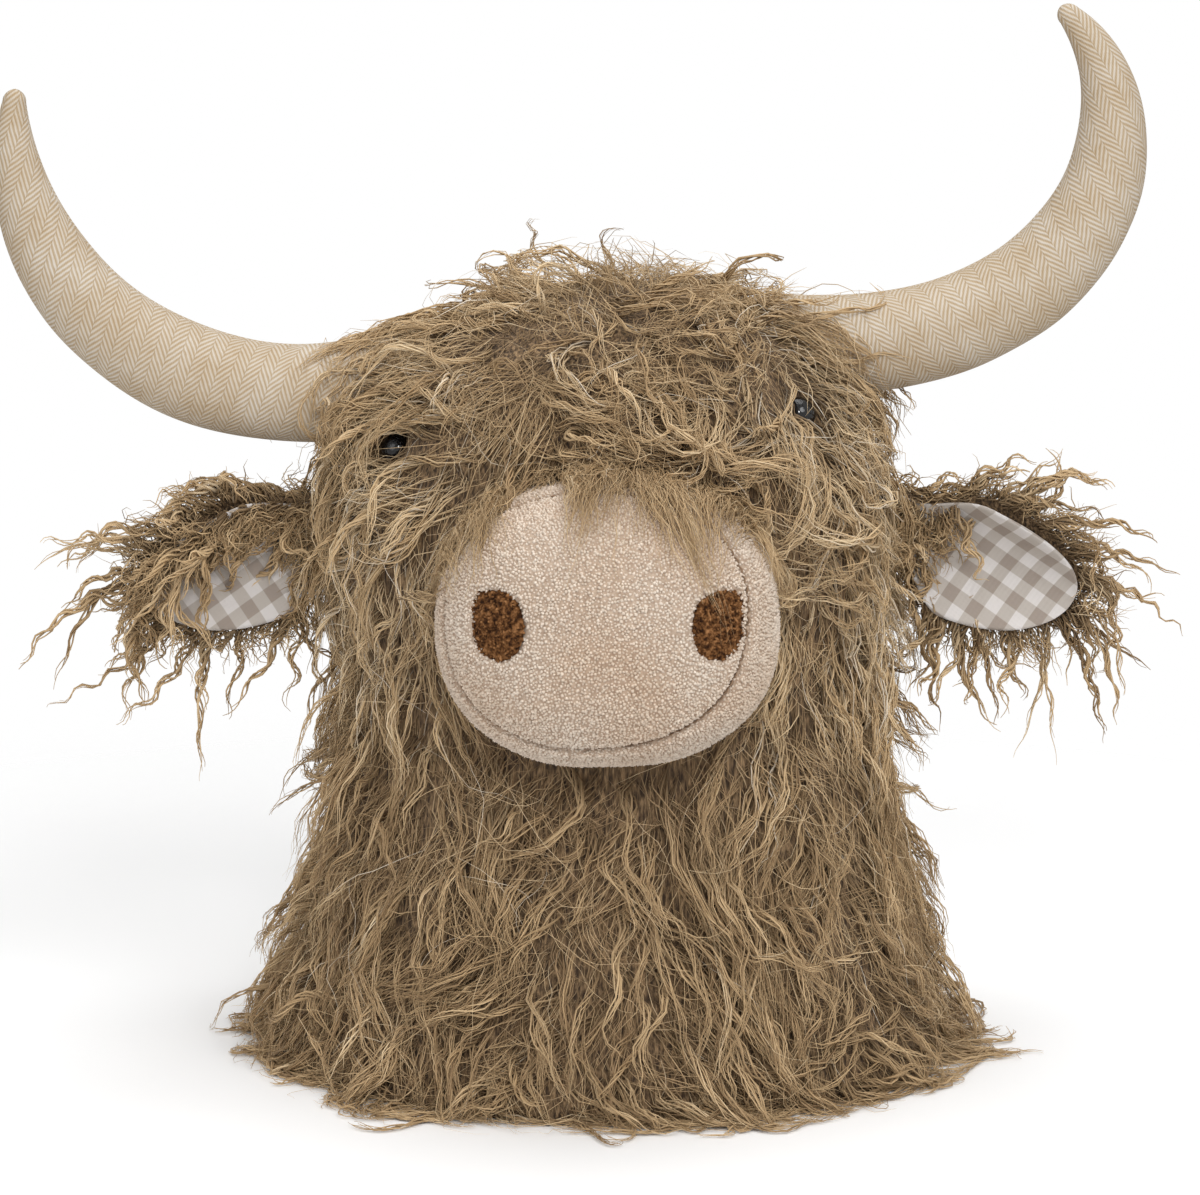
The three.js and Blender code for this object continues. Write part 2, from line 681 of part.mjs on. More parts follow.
const lining = bust(PILE);
const furShell = cut(bust(0).intersect(region({ y: [-FAR, COVER_BACK], z: [0, FAR] })), lining);
const middleX = [-PANEL_HALF_WIDTH + GAP / 2, PANEL_HALF_WIDTH - GAP / 2];
const sideX = { left: [-FAR, -PANEL_HALF_WIDTH - GAP / 2], right: [PANEL_HALF_WIDTH + GAP / 2, FAR] };
const above = [THROAT_SEAM_HEIGHT + GAP / 2, FAR];
const below = [-FAR, THROAT_SEAM_HEIGHT - GAP / 2];

function furPanel(name, x, z, ...cutters) {
  const panel = cut(furShell.intersect(region({ x, z })), muzzleRoom, ...cutters);
  addPiece(root, name, panel, MATERIALS.fur);
}

furPanel("crown_panel", middleX, above, loopRoom, hornRoom.left, hornRoom.right);
furPanel("throat_panel", middleX, below);
for (const side of ["left", "right"]) {
  const openings = [eyes[side].opening, eyes[side].seat, earRoom[side], hornRoom[side]];
  furPanel(`cheek_${side}_panel`, sideX[side], above, ...openings);
  furPanel(`neck_${side}_panel`, sideX[side], below, earRoom[side]);
}

const core = bust(PILE + GAP);
const stuffing = core.intersect(region({ y: [-FAR, FILLING_BACK], z: [FILLING_FOOT, FAR] }));
const pockets = ["left", "right"].flatMap((side) => [eyes[side].seat, eyes[side].opening, hornRoom[side]]);
const headFilling = cut(stuffing.intersect(region({ z: above })), ...pockets);
addPiece(root, "head_filling", headFilling, MATERIALS.filling);
addPiece(root, "neck_filling", stuffing.intersect(region({ z: below })), MATERIALS.filling);

const boardRoom = region({ y: [FILLING_BACK + GAP, COVER_BACK], z: [FILLING_FOOT, FAR] });
addPiece(root, "back_board", core.intersect(boardRoom), MATERIALS.board);
const clothRoom = region({ y: [BACK_Y - BACK_CLOTH, BACK_Y], z: [0, FAR] });
addPiece(root, "back_cover", bust(PILE - BACK_HEM).intersect(clothRoom), MATERIALS.felt);
const baseRoom = region({ y: [-FAR, COVER_BACK], z: [0, BASE_CLOTH] });
addPiece(root, "base_cover", core.intersect(baseRoom), MATERIALS.felt);

export default root;
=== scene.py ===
"""Looks of a stuffed long-haired cow's head: shaggy fur, towelling muzzle, cloth horns and ears, felt back.

Metres, +Z up, the face looks along -Y; left and right are as seen from in front.
"""

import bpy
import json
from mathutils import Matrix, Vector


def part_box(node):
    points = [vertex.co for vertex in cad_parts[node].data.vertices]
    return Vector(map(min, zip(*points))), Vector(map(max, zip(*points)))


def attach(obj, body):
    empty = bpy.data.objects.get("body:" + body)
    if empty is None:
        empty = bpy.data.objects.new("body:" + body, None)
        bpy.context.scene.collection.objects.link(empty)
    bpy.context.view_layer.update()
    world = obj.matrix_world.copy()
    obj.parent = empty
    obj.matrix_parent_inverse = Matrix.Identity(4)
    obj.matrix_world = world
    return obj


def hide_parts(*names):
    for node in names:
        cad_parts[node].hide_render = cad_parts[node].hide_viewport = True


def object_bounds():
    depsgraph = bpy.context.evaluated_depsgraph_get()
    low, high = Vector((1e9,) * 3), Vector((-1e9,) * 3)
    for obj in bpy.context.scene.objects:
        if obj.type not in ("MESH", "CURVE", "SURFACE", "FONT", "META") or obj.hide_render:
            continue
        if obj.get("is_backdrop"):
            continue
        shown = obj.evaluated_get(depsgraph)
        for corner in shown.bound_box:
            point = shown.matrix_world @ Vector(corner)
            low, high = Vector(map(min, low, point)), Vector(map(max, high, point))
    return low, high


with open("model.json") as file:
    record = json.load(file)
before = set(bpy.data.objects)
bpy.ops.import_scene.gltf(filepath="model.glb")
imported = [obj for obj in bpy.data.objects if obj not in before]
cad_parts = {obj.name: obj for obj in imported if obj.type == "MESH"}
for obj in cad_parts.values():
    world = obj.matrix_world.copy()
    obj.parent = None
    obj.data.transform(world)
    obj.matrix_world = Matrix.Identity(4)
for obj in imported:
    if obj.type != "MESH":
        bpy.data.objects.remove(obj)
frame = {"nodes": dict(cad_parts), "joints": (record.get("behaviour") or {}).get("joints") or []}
SOLID_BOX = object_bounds()
WALL = SOLID_BOX[1].y

import json
import math
from collections import namedtuple

import bmesh
import bpy
import numpy as np
from mathutils import Matrix, Vector
from mathutils.bvhtree import BVHTree

MM = 0.001
TURN = 2 * math.pi
QUARTER = math.pi / 2
DOWN = np.array((0, 0, -1.0))
BACK = np.array((0, 1.0, 0))
SIDES = {"left": -1, "right": 1}
JOINTS = {joint["child"]: joint for joint in frame["joints"]}
WHITE = (1, 1, 1, 1)
SHELL_WELD = 1e-6
COPY_WELD = 1e-5

# Camera and stage; a lamp has its place, the height that it is aimed at, its size and its power
PHOTO_WIDTH = 1200
PIXELS_PER_METRE = 2400
SENSOR_WIDTH = 36
CAMERA_TARGET = Vector((-0.005, 0, 0.19))
CAMERA_DISTANCE = 1.8
CAMERA_DOWN = math.radians(10.5)
FLOOR_HALF = 2
FLOOR_FADE = (0.35, 0.75)
FLOOR_GREY = 0.94
SKY_LIGHT = 0.55
SKY_SEEN = 1.0
Lamp = namedtuple("Lamp", "place aim size power")
LAMPS = {
    "key": Lamp((1.0, -1.5, 1.65), 0.2, 1.2, 21),
    "fill": Lamp((-1.3, -1.3, 0.9), 0.2, 1.4, 7.5),
    "top": Lamp((0.1, 0.3, 1.9), 0.2, 1.4, 13),
    "glint": Lamp((0.1, -1.4, 0.9), 0.27, 0.3, 6),
}

# Smooth noise: the length of its bumps and its seed, and the waves that it is the mean of
WAVES = {
    "swirl": (90 * MM, 1), "ripple": (35 * MM, 2), "tone": (50 * MM, 3), "foot": (60 * MM, 4),
    "muzzle": (50 * MM, 5), "lumps": (65 * MM, 6), "horn": (45 * MM, 7), "ragged": (50 * MM, 8),
    "crease": (40 * MM, 9),
}
WAVE_COUNT = 12
WAVE_SPREAD = (0.6, 1.5)
WAVE_GAIN = 2.2

# The coat: its thickness, how far below its face the roots and the backing cloth lie, its panels' tones, the
# right cheek's paler than the left's as painted light from the right, and the painted shade at a hair's root,
# which fades towards its middle
PILE = 18 * MM
ROOT_DEPTH = 9 * MM
BACKING_DEPTH = 6 * MM
FLOOR_CLEAR = 1.2 * MM
WALL_CLEAR = 0.8 * MM
OUTER_SHARE = 0.7
OUTER_FACING = 0.7
REAR_FACING = 0.9
REAR_EDGE = 6 * MM
REAR_SPACING = 1.5
SCATTER_TRIES = 3
FUR_SEED = 11
# Each panel's tone; the right cheek's is above the left's as painted light from the right
PANEL_TONES_AND_LIGHT = {
    "crown": 0.46, "throat": 0.26, "cheek_left": 0.72, "cheek_right": 0.84, "neck_left": 0.26,
    "neck_right": 0.26,
}
TONE_DRIFT = 0.36
TONE_SPREAD = 0.25
FLYAWAY_PALE = 0.6
HAIR_SIZES = (0.75, 1.25)
FUR_ROOT_SHADE = (0.24, 0.21, 0.18, 1)
FUR_SHADE_FADE = 1.9

# One kind of hair: distance between locks, points along a lock, its least and most length and rise,
# how far it strays from the comb and curls along its length in degrees, its waves, how many strands it
# has, how far they spread at root, waist and tip, their turns, thickness and frizz, and the shortest
# strand's share of a lock
Coat = namedtuple(
    "Coat",
    "spacing points length lift stray curl crimp wave strands root waist tip twist thickness frizz shortest",
)
LOCKS = Coat(7.6 * MM, 15, (48 * MM, 90 * MM), (-3 * MM, 17 * MM), 24, 55, 1.6 * MM, 23 * MM, 6,
             2.6 * MM, 0.9 * MM, 0.7 * MM, 1.6, 0.36 * MM, 1.8 * MM, 0.65)
UNDERFUR = Coat(5.6 * MM, 6, (26 * MM, 50 * MM), (-5 * MM, 4 * MM), 40, 80, 1.2 * MM, 22 * MM, 5,
                4.5 * MM, 3.2 * MM, 4.5 * MM, 0.3, 0.22 * MM, 6 * MM, 0.5)
FLYAWAYS = Coat(9 * MM, 12, (36 * MM, 80 * MM), (2 * MM, 12 * MM), 55, 100, 1.8 * MM, 28 * MM, 1,
                0.5 * MM, 0.5 * MM, 0.5 * MM, 0.0, 0.16 * MM, 1.5 * MM, 0.7)
SPRIGS = Coat(24 * MM, 18, (42 * MM, 74 * MM), (9 * MM, 28 * MM), 45, 60, 1.5 * MM, 27 * MM, 6,
              1.8 * MM, 0.9 * MM, 0.3 * MM, 2.2, 0.45 * MM, 1.5 * MM, 0.7)
FORELOCKS = Coat(0, 14, (0, 0), (2 * MM, 7 * MM), 0, 0, 1.2 * MM, 24 * MM, 6,
                 2.6 * MM, 1.3 * MM, 1.6 * MM, 0.8, 0.26 * MM, 3 * MM, 0.5)
WISPS = Coat(0, 12, (0, 0), (2 * MM, 9 * MM), 0, 0, 1.4 * MM, 26 * MM, 3,
             2.4 * MM, 1.8 * MM, 2.6 * MM, 0.4, 0.14 * MM, 6 * MM, 0.5)
LONG_LOCK = Coat(0, 14, (0, 0), (2 * MM, 6 * MM), 0, 0, 1.0 * MM, 26 * MM, 7,
                 2.0 * MM, 1.0 * MM, 0.8 * MM, 1.0, 0.24 * MM, 2 * MM, 0.75)
EAR_LOCKS = Coat(10.5 * MM, 23, (38 * MM, 74 * MM), (0, 0), 30, 70, 2.0 * MM, 17 * MM, 5,
                 2.2 * MM, 0.9 * MM, 0.2 * MM, 2.4, 0.64 * MM, 1.0 * MM, 0.65)
EAR_FUZZ = Coat(4.2 * MM, 9, (16 * MM, 34 * MM), (0, 0), 50, 90, 1.4 * MM, 12 * MM, 4,
                2.4 * MM, 1.5 * MM, 2.6 * MM, 0.8, 0.32 * MM, 4 * MM, 0.5)
LOOP_FUZZ = Coat(1.4 * MM, 5, (8 * MM, 15 * MM), (-9 * MM, -3 * MM), 60, 60, 0.5 * MM, 9 * MM, 3,
                 1.0 * MM, 0.8 * MM, 1.4 * MM, 0.3, 0.26 * MM, 3 * MM, 0.5)
THREAD = Coat(0, 5, (0, 0), (0, 0), 0, 0, 0, 0, 1, 0.0, 0.0, 0.0, 0.0, 0.5 * MM, 0.0, 1.0)

# Strands of a lock: the least, the most and the seed of what varies from one to the next, how fast their
# spread fades from the root, fills the waist and grows at the tip, and how they thin and frizz
STRAND_VARIES = {
    "root": (0.3, 1.0, 1), "waist": (0.6, 1.2, 2), "tip": (0.0, 1.5, 3), "frizz_x": (0.0, 9.0, 4),
    "frizz_y": (0.0, 9.0, 5), "shade": (0.0, 0.4, 6), "thickness": (0.7, 1.25, 7),
}
STRAND_ROOT_FADE = 2.0
STRAND_WAIST_FILL = 4.0
STRAND_TIP_GROWTH = 3.0
STRAND_TONE_TURNS = 7.0
STRAND_TONE_SHARE = 0.6
STRAND_TAPER = 0.8
STRAND_TAPER_GROWTH = 2.5
STRAND_CORNERS = 3
FRIZZ_SCALE = 45.0
MAP_MARGIN = 0.01
MIDDLE = (0.5, 0.5, 0.5)

# How the coat is brushed: out from the crown, out again at the foot, and in swirls that are wilder on the
# head, in degrees
CROWN_CENTRE = np.array((-0.008, 0.012, 0))
FOOT_FLARE = 0.9
FOOT_FLARE_HEIGHT = 0.07
FOOT_UNEVEN = 0.9
SWIRL = 26
SWIRL_HEAD = (220 * MM, 60 * MM)
SWIRL_HEAD_MORE = 50
SWIRL_RIPPLE = 0.6
HEAD_START = 205 * MM
HEAD_FULL = 265 * MM
HEAD_STRAY = 1.5
HEAD_CURL = 3.6
HEAD_LENGTH = 1.15
RAGGED = 0.22
COAT_LUMPS = 0.34
LIFT_BIAS = 2

# How a guide line grows: it leaves the root, rises within a share of its length, no steeper than the
# limits, and keeps some of its way at each step; then its waves, and the clumps that lines gather in
ROOT_RISE = 0.8
RISE_SHARE = 0.4
RISE_PACE = 0.5
RISE_LIMITS = (-0.8, 0.9)
STIFFNESS = 0.5
CURL_START = 0.3
LEAST_SHARE = 0.15
MUZZLE_HAIR_GAP = 2.2 * MM
HORN_HAIR_GAP = 1.6 * MM
CRIMP_LENGTHS = (0.75, 1.4)
CRIMP_SWINGS = (0.3, 1.4)
CRIMP_START = 2.5
CRIMP_FLAT = 0.6
CLUMP_SPACING = 25 * MM
CLUMP_PULL = (0.5, 0.95)
CLUMP_START = 1.1

# Fringe over the muzzle: how far single hairs may reach, and bunches of hair that hang over it, with the
# stretch across it that they start in, how many they are, how far they turn down in radians, how far aside
# their tips lie, and the shortest hair's share
FRINGE = (10 * MM, 66 * MM)
FRINGE_BIAS = 1.6
FRINGE_COMB = 0.4
FRINGE_FALL = np.array((0, -0.75, -0.65))
Bunches = namedtuple("Bunches", "left right number turn aside shortest")
FORELOCK_BUNCHES = (
    Bunches(-66 * MM, -42 * MM, 6, 1.4, 0, 0.55),
    Bunches(-42 * MM, -10 * MM, 2, 0.7, 0, 0.55),
    Bunches(-10 * MM, 42 * MM, 8, 1.44, 0, 0.55),
    Bunches(42 * MM, 66 * MM, 4, 1.35, 0, 0.55),
)
LONG_LOCK_BUNCH = (Bunches(10 * MM, 14 * MM, 1, 1.76, 14 * MM, 0.8),)
NOSTRIL_HAIR_BUNCH = (Bunches(22 * MM, 28 * MM, 1, 2.25, 28 * MM, 0.8),)
HANGING = {
    "forelocks": (FORELOCKS, 11, FORELOCK_BUNCHES),
    "wisps": (WISPS, 15, FORELOCK_BUNCHES),
    "long_lock": (LONG_LOCK, 10, LONG_LOCK_BUNCH),
    "nostril_hairs": (WISPS, 3, NOSTRIL_HAIR_BUNCH),
}
FORELOCK_START = -0.5
FORELOCK_LEAST = 0.4
FORELOCK_BIAS = 0.6
FORELOCK_SPREAD = (7 * MM, 2.5 * MM)
FORELOCK_DRIFT = 8 * MM
FORELOCK_SWERVE = 1.5
FORELOCK_TONE = (0.5, 0.22)
FORELOCK_NARROWEST = 0.01

# Locks that stand off, and hair at the horns' roots and at the loop's foot
SPRIG_SLOPE = 0.3
SPRIG_FOOT = 50 * MM
SPRIG_CHEEK = (110 * MM, 205 * MM)
SPRIG_CHEEK_SIDE = 0.75
HORN_PULL = 26 * MM
HORN_HOLD = 0.75
HORN_HOLD_LENGTH = 52 * MM
HORN_SAG = 0.3
HORN_LEAN = 0.15
COLLAR_DEPTH = (-12 * MM, 8 * MM)
COLLAR_SPACING = 0.8
LOOP_ROOM = (14 * MM, 8 * MM, 4 * MM)
LOOP_FUZZ_ROOM = (16 * MM, 8 * MM, 16 * MM)
LOOP_FUZZ_GAP = 1 * MM

# Eyes: the hollow round them, and the line of sight that the hair leaves open
EYE_TOP = 3 * MM
EYE_DIMPLE = 6 * MM
EYE_DIMPLE_REACH = (9 * MM, 22 * MM)
EYE_SIGHT = np.array((-0.046, -0.988, 0.145))
EYE_VIEW = 60 * MM
EYE_CLEAR = 6.6 * MM
EYE_SLACK = 1.2 * MM
EYE_TOUCH = 3

# Muzzle
MUZZLE_CENTRE = Vector((-2 * MM, -102 * MM, 199 * MM))
MUZZLE_HALF = (67 * MM, 58 * MM, 56 * MM)
MUZZLE_ROUNDNESS = 2.3
MUZZLE_PITCH = math.radians(4)
MUZZLE_PLACE = Matrix.Translation(MUZZLE_CENTRE) @ Matrix.Rotation(-MUZZLE_PITCH, 4, "X")
MUZZLE_CLOTH = 2.2 * MM
MUZZLE_BACK = 62 * MM
MUZZLE_REACH = 1.42
MUZZLE_PILE_BACK = 6 * MM
MUZZLE_LUMPS = 0.5 * MM
MUZZLE_GRID = (40, 112)
SEAM_DEPTH = 31 * MM
SEAM_TURN = math.radians(7.5)
SEAM_TILT = math.radians(10)
SEAM_HALVINGS = 40
SEAM_ROLL = 2.0 * MM
SEAM_DROP = 2.6 * MM
SEAM_BARE = 1.4 * MM
SEAM_STITCHES = 78
SEAM_STITCH = 3.4 * MM
SEAM_STEP = 0.01
SEAM_CROWDING = 1.5
NOSTRIL_SPACING = 84 * MM
NOSTRIL_RISE = 4 * MM
NOSTRIL_SIZE = (20 * MM, 27 * MM)
NOSTRIL_SINK = 2.4 * MM
NOSTRIL_DIP = (0.88, 0.3)
NOSTRIL_REST = 1.3 * MM
NOSTRIL_CROWN = 0.4
NOSTRIL_CROWN_POWER = 4
NOSTRIL_ROUNDNESS = 2.1
NOSTRIL_CORNER = 4.5
NOSTRIL_GRID = (14, 48)
NO_NOSTRIL = 9.0

# Short pile: distance between its tufts, their width and height, how far they lean, and how they vary
Tuft = namedtuple("Tuft", "spacing width height lean")
TERRY = Tuft(1.05 * MM, 0.7 * MM, 1.0 * MM, 1.6)
FLEECE = Tuft(1.25 * MM, 0.8 * MM, 1.6 * MM, 2.4)
TUFT_SIZES = {"Min": 0.65, "Max": 1.4, "Seed": 5}
TUFT_DENSITY = 2.5e6
TUFT_BLOB = {"Segments": 4, "Rings": 2, "Radius": 1.0}

# Horns
HORN_LENGTH = 229 * MM
HORN_ROOT_RADIUS = 20.6 * MM
HORN_TIP_RADIUS = 5.3 * MM
HORN_LEAST_RADIUS = 0.1 * MM
HORN_TAPER = 3.3
HORN_CLOTH = 1.5 * MM
HORN_CURVES = {"left": (-9.5, 111, 1.17), "right": (-5, 135, 1.6)}
HORN_GRAIN = math.radians(115)
HORN_SEAM = 0.7 * MM
HORN_SEAM_ROLL = 1.8 * MM
HORN_SEAM_GAP = 0.1 * MM
HORN_SEAM_LEAST = 0.9
HORN_LUMPS = 0.45 * MM
HORN_STEPS = 72
HORN_TIP_ROWS = 10
HORN_ROOT_ROWS = 8
HORN_COLUMNS = 33
HEAD_TILT = math.radians(5)
# Herringbone cloth: sizes of its columns and strokes, and how far each of its parts shades it
Herringbone = namedtuple("Herringbone", "column pitch slant thread wobble stroke weft edge edge_power blotch")
HERRINGBONE = Herringbone(5.4 * MM, 1.75 * MM, math.radians(36), 0.8 * MM, 0.35, 0.32, 0.06, 0.12, 12.0, 0.3)

# Ears
EAR_LENGTH = 92 * MM
EAR_HALF_WIDTH = 29 * MM
EAR_ROOT_HALF_WIDTH = 12 * MM
EAR_WIDENS = 0.12
EAR_WIDEST = 0.45
EAR_THICKNESS = 7 * MM
EAR_CUP = 9 * MM
EAR_FOLD = 7 * MM
EAR_FOLD_ACROSS = (0.3, 0.7)
EAR_FOLD_ALONG = (0.2, 0.3)
EAR_FOLD_BEND = 1.5
EAR_FOLD_END = 6
EAR_FOLD_LOWERS = 0.15
EAR_ROLL = math.radians(12)
EAR_DROOP = math.radians(24)
EAR_LINING = 1.4 * MM
EAR_LINING_MARGIN = 1.5 * MM
EAR_LINING_GAP = 0.6 * MM
EAR_CREASE = 1.2 * MM
EAR_CREASE_ALONG = (0.1, 0.2)
EAR_GRID = (40, 33)
EAR_TIP_CROWDING = 1.6
Gingham = namedtuple("Gingham", "check turn thread sharpness weave blotch")
GINGHAM = Gingham(6 * MM, math.radians(79), 0.7 * MM, 6.0, 0.05, 0.12)

# Hair of the ears: it fans out, stands off the back, droops, and lies over the lining's inner part and edge
EAR_SEED = 20
EAR_BACK_FACING = -0.3
EAR_FAN_OUT = 0.25
EAR_FAN_UP = 1.3
EAR_STAND = 1.05
EAR_OVER = np.array((0.9, -0.25, -0.5))
EAR_OVER_SLACK = 0.2 * MM
EAR_NARROWEST = 5 * MM
EAR_EDGE_POWER = 3
EAR_LEAST_REACH = 1e-6
EAR_ROOT_LENGTH = 0.6
EAR_DROP = 0.03
EAR_STRAY = 0.28
EAR_RIM_INSET = 1.5 * MM
EAR_RIM_SPACING = 0.5
EAR_RIM_STEPS = 200
EAR_COVER = 0.3
EAR_COVER_CROWD = 2.4
EAR_COVER_BIAS = 1.5
EAR_COVER_ACROSS = (-0.9, 1.0)
EAR_DRAPE = {"left": 2.4, "right": 0.0}
EAR_DRAPE_EDGE = 0.45
EAR_DRAPE_END = 0.95
EAR_LIMIT = SOLID_BOX[1].x + 21 * MM
EAR_TONE = (0.42, 0.25)
EAR_SIZES = (0.8, 1.2)

# Hanging loop
LOOP_WIDTH = 20 * MM
LOOP_TAPE = 1.8 * MM
LOOP_EYE_WIDTH = 6.4 * MM
LOOP_EYE_HEIGHT = 24 * MM
LOOP_STEM = 6 * MM
LOOP_LAYER_GAP = 0.05 * MM
LOOP_OPENING = 0.45
LOOP_LEG_STEPS = 14
LOOP_TOP_STEPS = 19
LOOP_COLUMNS = 13
LOOP_EDGE = (0.42, 0.08)
LOOP_EDGE_THINNER = 0.45
LOOP_STITCHES = 5
LOOP_STITCH = 2.4 * MM
LOOP_STITCH_REACH = 0.36
TAPE_THREAD = 1.7 * MM

# Stuffing and sewing
Stitch = namedtuple("Stitch", "length spacing rise inset taper")
STITCH = Stitch(4.4 * MM, 6.5 * MM, 1.2 * MM, 4 * MM, 0.3)
FACE_SLACK = 0.1 * MM


def srgb(red, green, blue):
    """A colour given as 0 to 255 on screen, as linear light with full alpha."""
    levels = [value / 255 for value in (red, green, blue)]
    linear = [v / 12.92 if v <= 0.04045 else ((v + 0.055) / 1.055) ** 2.4 for v in levels]
    return (*linear, 1.0)


# Node trees


class Term:
    """A socket in a node tree. Arithmetic on it adds Math nodes to the tree."""

    def __init__(self, net, socket):
        self.net = net
        self.socket = socket

    def math(self, operation, *others):
        return self.net.math(operation, self, *others)

    def also(self, name):
        """Another output of the same node."""
        return Term(self.net, self.socket.node.outputs[name])

    def __add__(self, other):
        return self.math("ADD", other)

    def __radd__(self, other):
        return self.net.math("ADD", other, self)

    def __sub__(self, other):
        return self.math("SUBTRACT", other)

    def __rsub__(self, other):
        return self.net.math("SUBTRACT", other, self)

    def __mul__(self, other):
        return self.math("MULTIPLY", other)

    def __rmul__(self, other):
        return self.net.math("MULTIPLY", other, self)

    def __truediv__(self, other):
        return self.math("DIVIDE", other)

    def __pow__(self, other):
        return self.math("POWER", other)


class Net:
    """A shader or geometry tree."""

    def __init__(self, tree):
        self.tree = tree

    def add(self, kind, inputs=(), out=0, stops=(), **settings):
        """One node of a kind: its settings and stops first, then its sockets' values or links."""
        node = self.tree.nodes.new(kind)
        for name, value in settings.items():
            setattr(node, name, value)
        if stops:
            elements = node.color_ramp.elements
            while len(elements) < len(stops):
                elements.new(0.5)
            for element, (place, colour) in zip(elements, stops):
                element.position = place
                element.color = colour
        for key, value in dict(inputs).items():
            socket = node.inputs[key] if isinstance(key, int) else self.named(node, key)
            if isinstance(value, Term):
                self.tree.links.new(value.socket, socket)
            else:
                socket.default_value = value
        outputs = [socket for socket in node.outputs if socket.enabled]
        return Term(self, outputs[out] if outputs else None)

    def named(self, node, name):
        return next(socket for socket in node.inputs if socket.enabled and socket.name == name)

    def math(self, operation, *values):
        return self.add("ShaderNodeMath", enumerate(values), operation=operation)

    def vector(self, operation, *values):
        return self.add("ShaderNodeVectorMath", enumerate(values), operation=operation)

    def scaled(self, vector, factor):
        return self.add("ShaderNodeVectorMath", {0: vector, "Scale": factor}, operation="SCALE")

    def mix(self, factor, first, second, blend="MIX"):
        """Two colours mixed by a factor."""
        inputs = {"Factor": factor, "A": first, "B": second}
        return self.add("ShaderNodeMix", inputs, data_type="RGBA", blend_type=blend)

    def ramp(self, factor, *stops):
        return self.add("ShaderNodeValToRGB", {0: factor}, stops=stops)

    def shades(self, factor, *stops):
        """A ramp whose colours are given as 0 to 255 on screen."""
        return self.ramp(factor, *((place, srgb(*colour)) for place, colour in stops))

    def noise(self, vector, scale, detail=2.0):
        return self.add("ShaderNodeTexNoise", {"Vector": vector, "Scale": scale, "Detail": detail})

    def bump(self, height, distance):
        return self.add("ShaderNodeBump", {"Height": height, "Distance": distance, "Strength": 1.0})

    def wave(self, value, length=1):
        """A sine wave of a length."""
        return (value * (TURN / length)).math("SINE")

    def place(self):
        """Where a point lies in the piece's own frame, in metres."""
        return self.add("ShaderNodeTexCoord", out=3)

    def cloth_map(self, name):
        """The two directions of a piece's own map."""
        parts = self.add("ShaderNodeSeparateXYZ", {0: self.add("ShaderNodeUVMap", uv_map=name)})
        return parts, parts.also("Y")

    def combined(self, *values):
        return self.add("ShaderNodeCombineXYZ", enumerate(values))

    def attribute(self, name):
        return self.add("GeometryNodeInputNamedAttribute", {"Name": name}, data_type="FLOAT")

    def stored(self, geometry, name, value, **settings):
        """A geometry with a value kept under a name, as a number unless the settings say otherwise."""
        inputs = {"Geometry": geometry, "Name": name, "Value": value}
        return self.add("GeometryNodeStoreNamedAttribute", inputs, **{"data_type": "FLOAT", **settings})


def material(name, build):
    """A material with one Principled shader, whose sockets get what build returns."""
    made = bpy.data.materials.new(name)
    made.use_nodes = True
    made.node_tree.nodes.clear()
    net = Net(made.node_tree)
    shader = net.add("ShaderNodeBsdfPrincipled", build(net))
    net.add("ShaderNodeOutputMaterial", {"Surface": shader})
    return made


def flecked(name, scale, detail, stops, roughness, specular=0.5, stretch=(1, 1, 1), bump=0, bump_scale=0):
    """A material with the colours of some noise, and relief from the same noise or from another scale."""

    def build(net):
        place = net.place()
        if stretch != (1, 1, 1):
            place = net.vector("MULTIPLY", place, stretch)
        grain = net.noise(place, scale, detail)
        sockets = {
            "Base Color": net.shades(grain, *stops),
            "Roughness": roughness,
            "Specular IOR Level": specular,
        }
        if bump:
            relief = net.noise(place, bump_scale, detail) if bump_scale else grain
            sockets["Normal"] = net.bump(relief, bump)
        return sockets

    return material(name, build)


def link(made):
    bpy.context.scene.collection.objects.link(made)
    return made


def evaluated(made):
    """The plain mesh that an object's modifiers make of it."""
    graph = bpy.context.evaluated_depsgraph_get()
    return bpy.data.meshes.new_from_object(made.evaluated_get(graph), depsgraph=graph)


class Growth:
    """A geometry tree with named inputs; run turns an object into the plain mesh the tree makes of it."""

    def __init__(self, name, **inputs):
        self.tree = bpy.data.node_groups.new(name, "GeometryNodeTree")
        self.net = Net(self.tree)
        face = self.tree.interface
        face.new_socket("Geometry", in_out="INPUT", socket_type="NodeSocketGeometry")
        for label, kind in inputs.items():
            face.new_socket(label, in_out="INPUT", socket_type="NodeSocket" + kind)
        face.new_socket("Geometry", in_out="OUTPUT", socket_type="NodeSocketGeometry")
        source = self.tree.nodes.new("NodeGroupInput")
        self.given = {socket.name: Term(self.net, socket) for socket in source.outputs if socket.name}

    def end(self, geometry):
        """Closes the tree: smooth faces, real geometry, and the material."""
        add = self.net.add
        shaded = add("GeometryNodeSetShadeSmooth", {"Geometry": geometry, "Shade Smooth": True})
        real = add("GeometryNodeRealizeInstances", {"Geometry": shaded})
        dressed = add("GeometryNodeSetMaterial", {"Geometry": real, "Material": self.given["Material"]})
        add("NodeGroupOutput", {"Geometry": dressed})
        return self

    def run(self, name, source, kind, **values):
        """A piece made from a source mesh. The fields of a kind of hair or tuft are inputs by their names."""
        values.update((field.capitalize(), value) for field, value in kind._asdict().items())
        holder = link(bpy.data.objects.new(name + "_source", source))
        modifier = holder.modifiers.new("growth", "NODES")
        modifier.node_group = self.tree
        for item in self.tree.interface.items_tree:
            if item.name in values:
                modifier[item.identifier] = values[item.name]
        mesh = evaluated(holder)
        bpy.data.objects.remove(holder)
        mesh.name = name
        return link(bpy.data.objects.new(name, mesh))


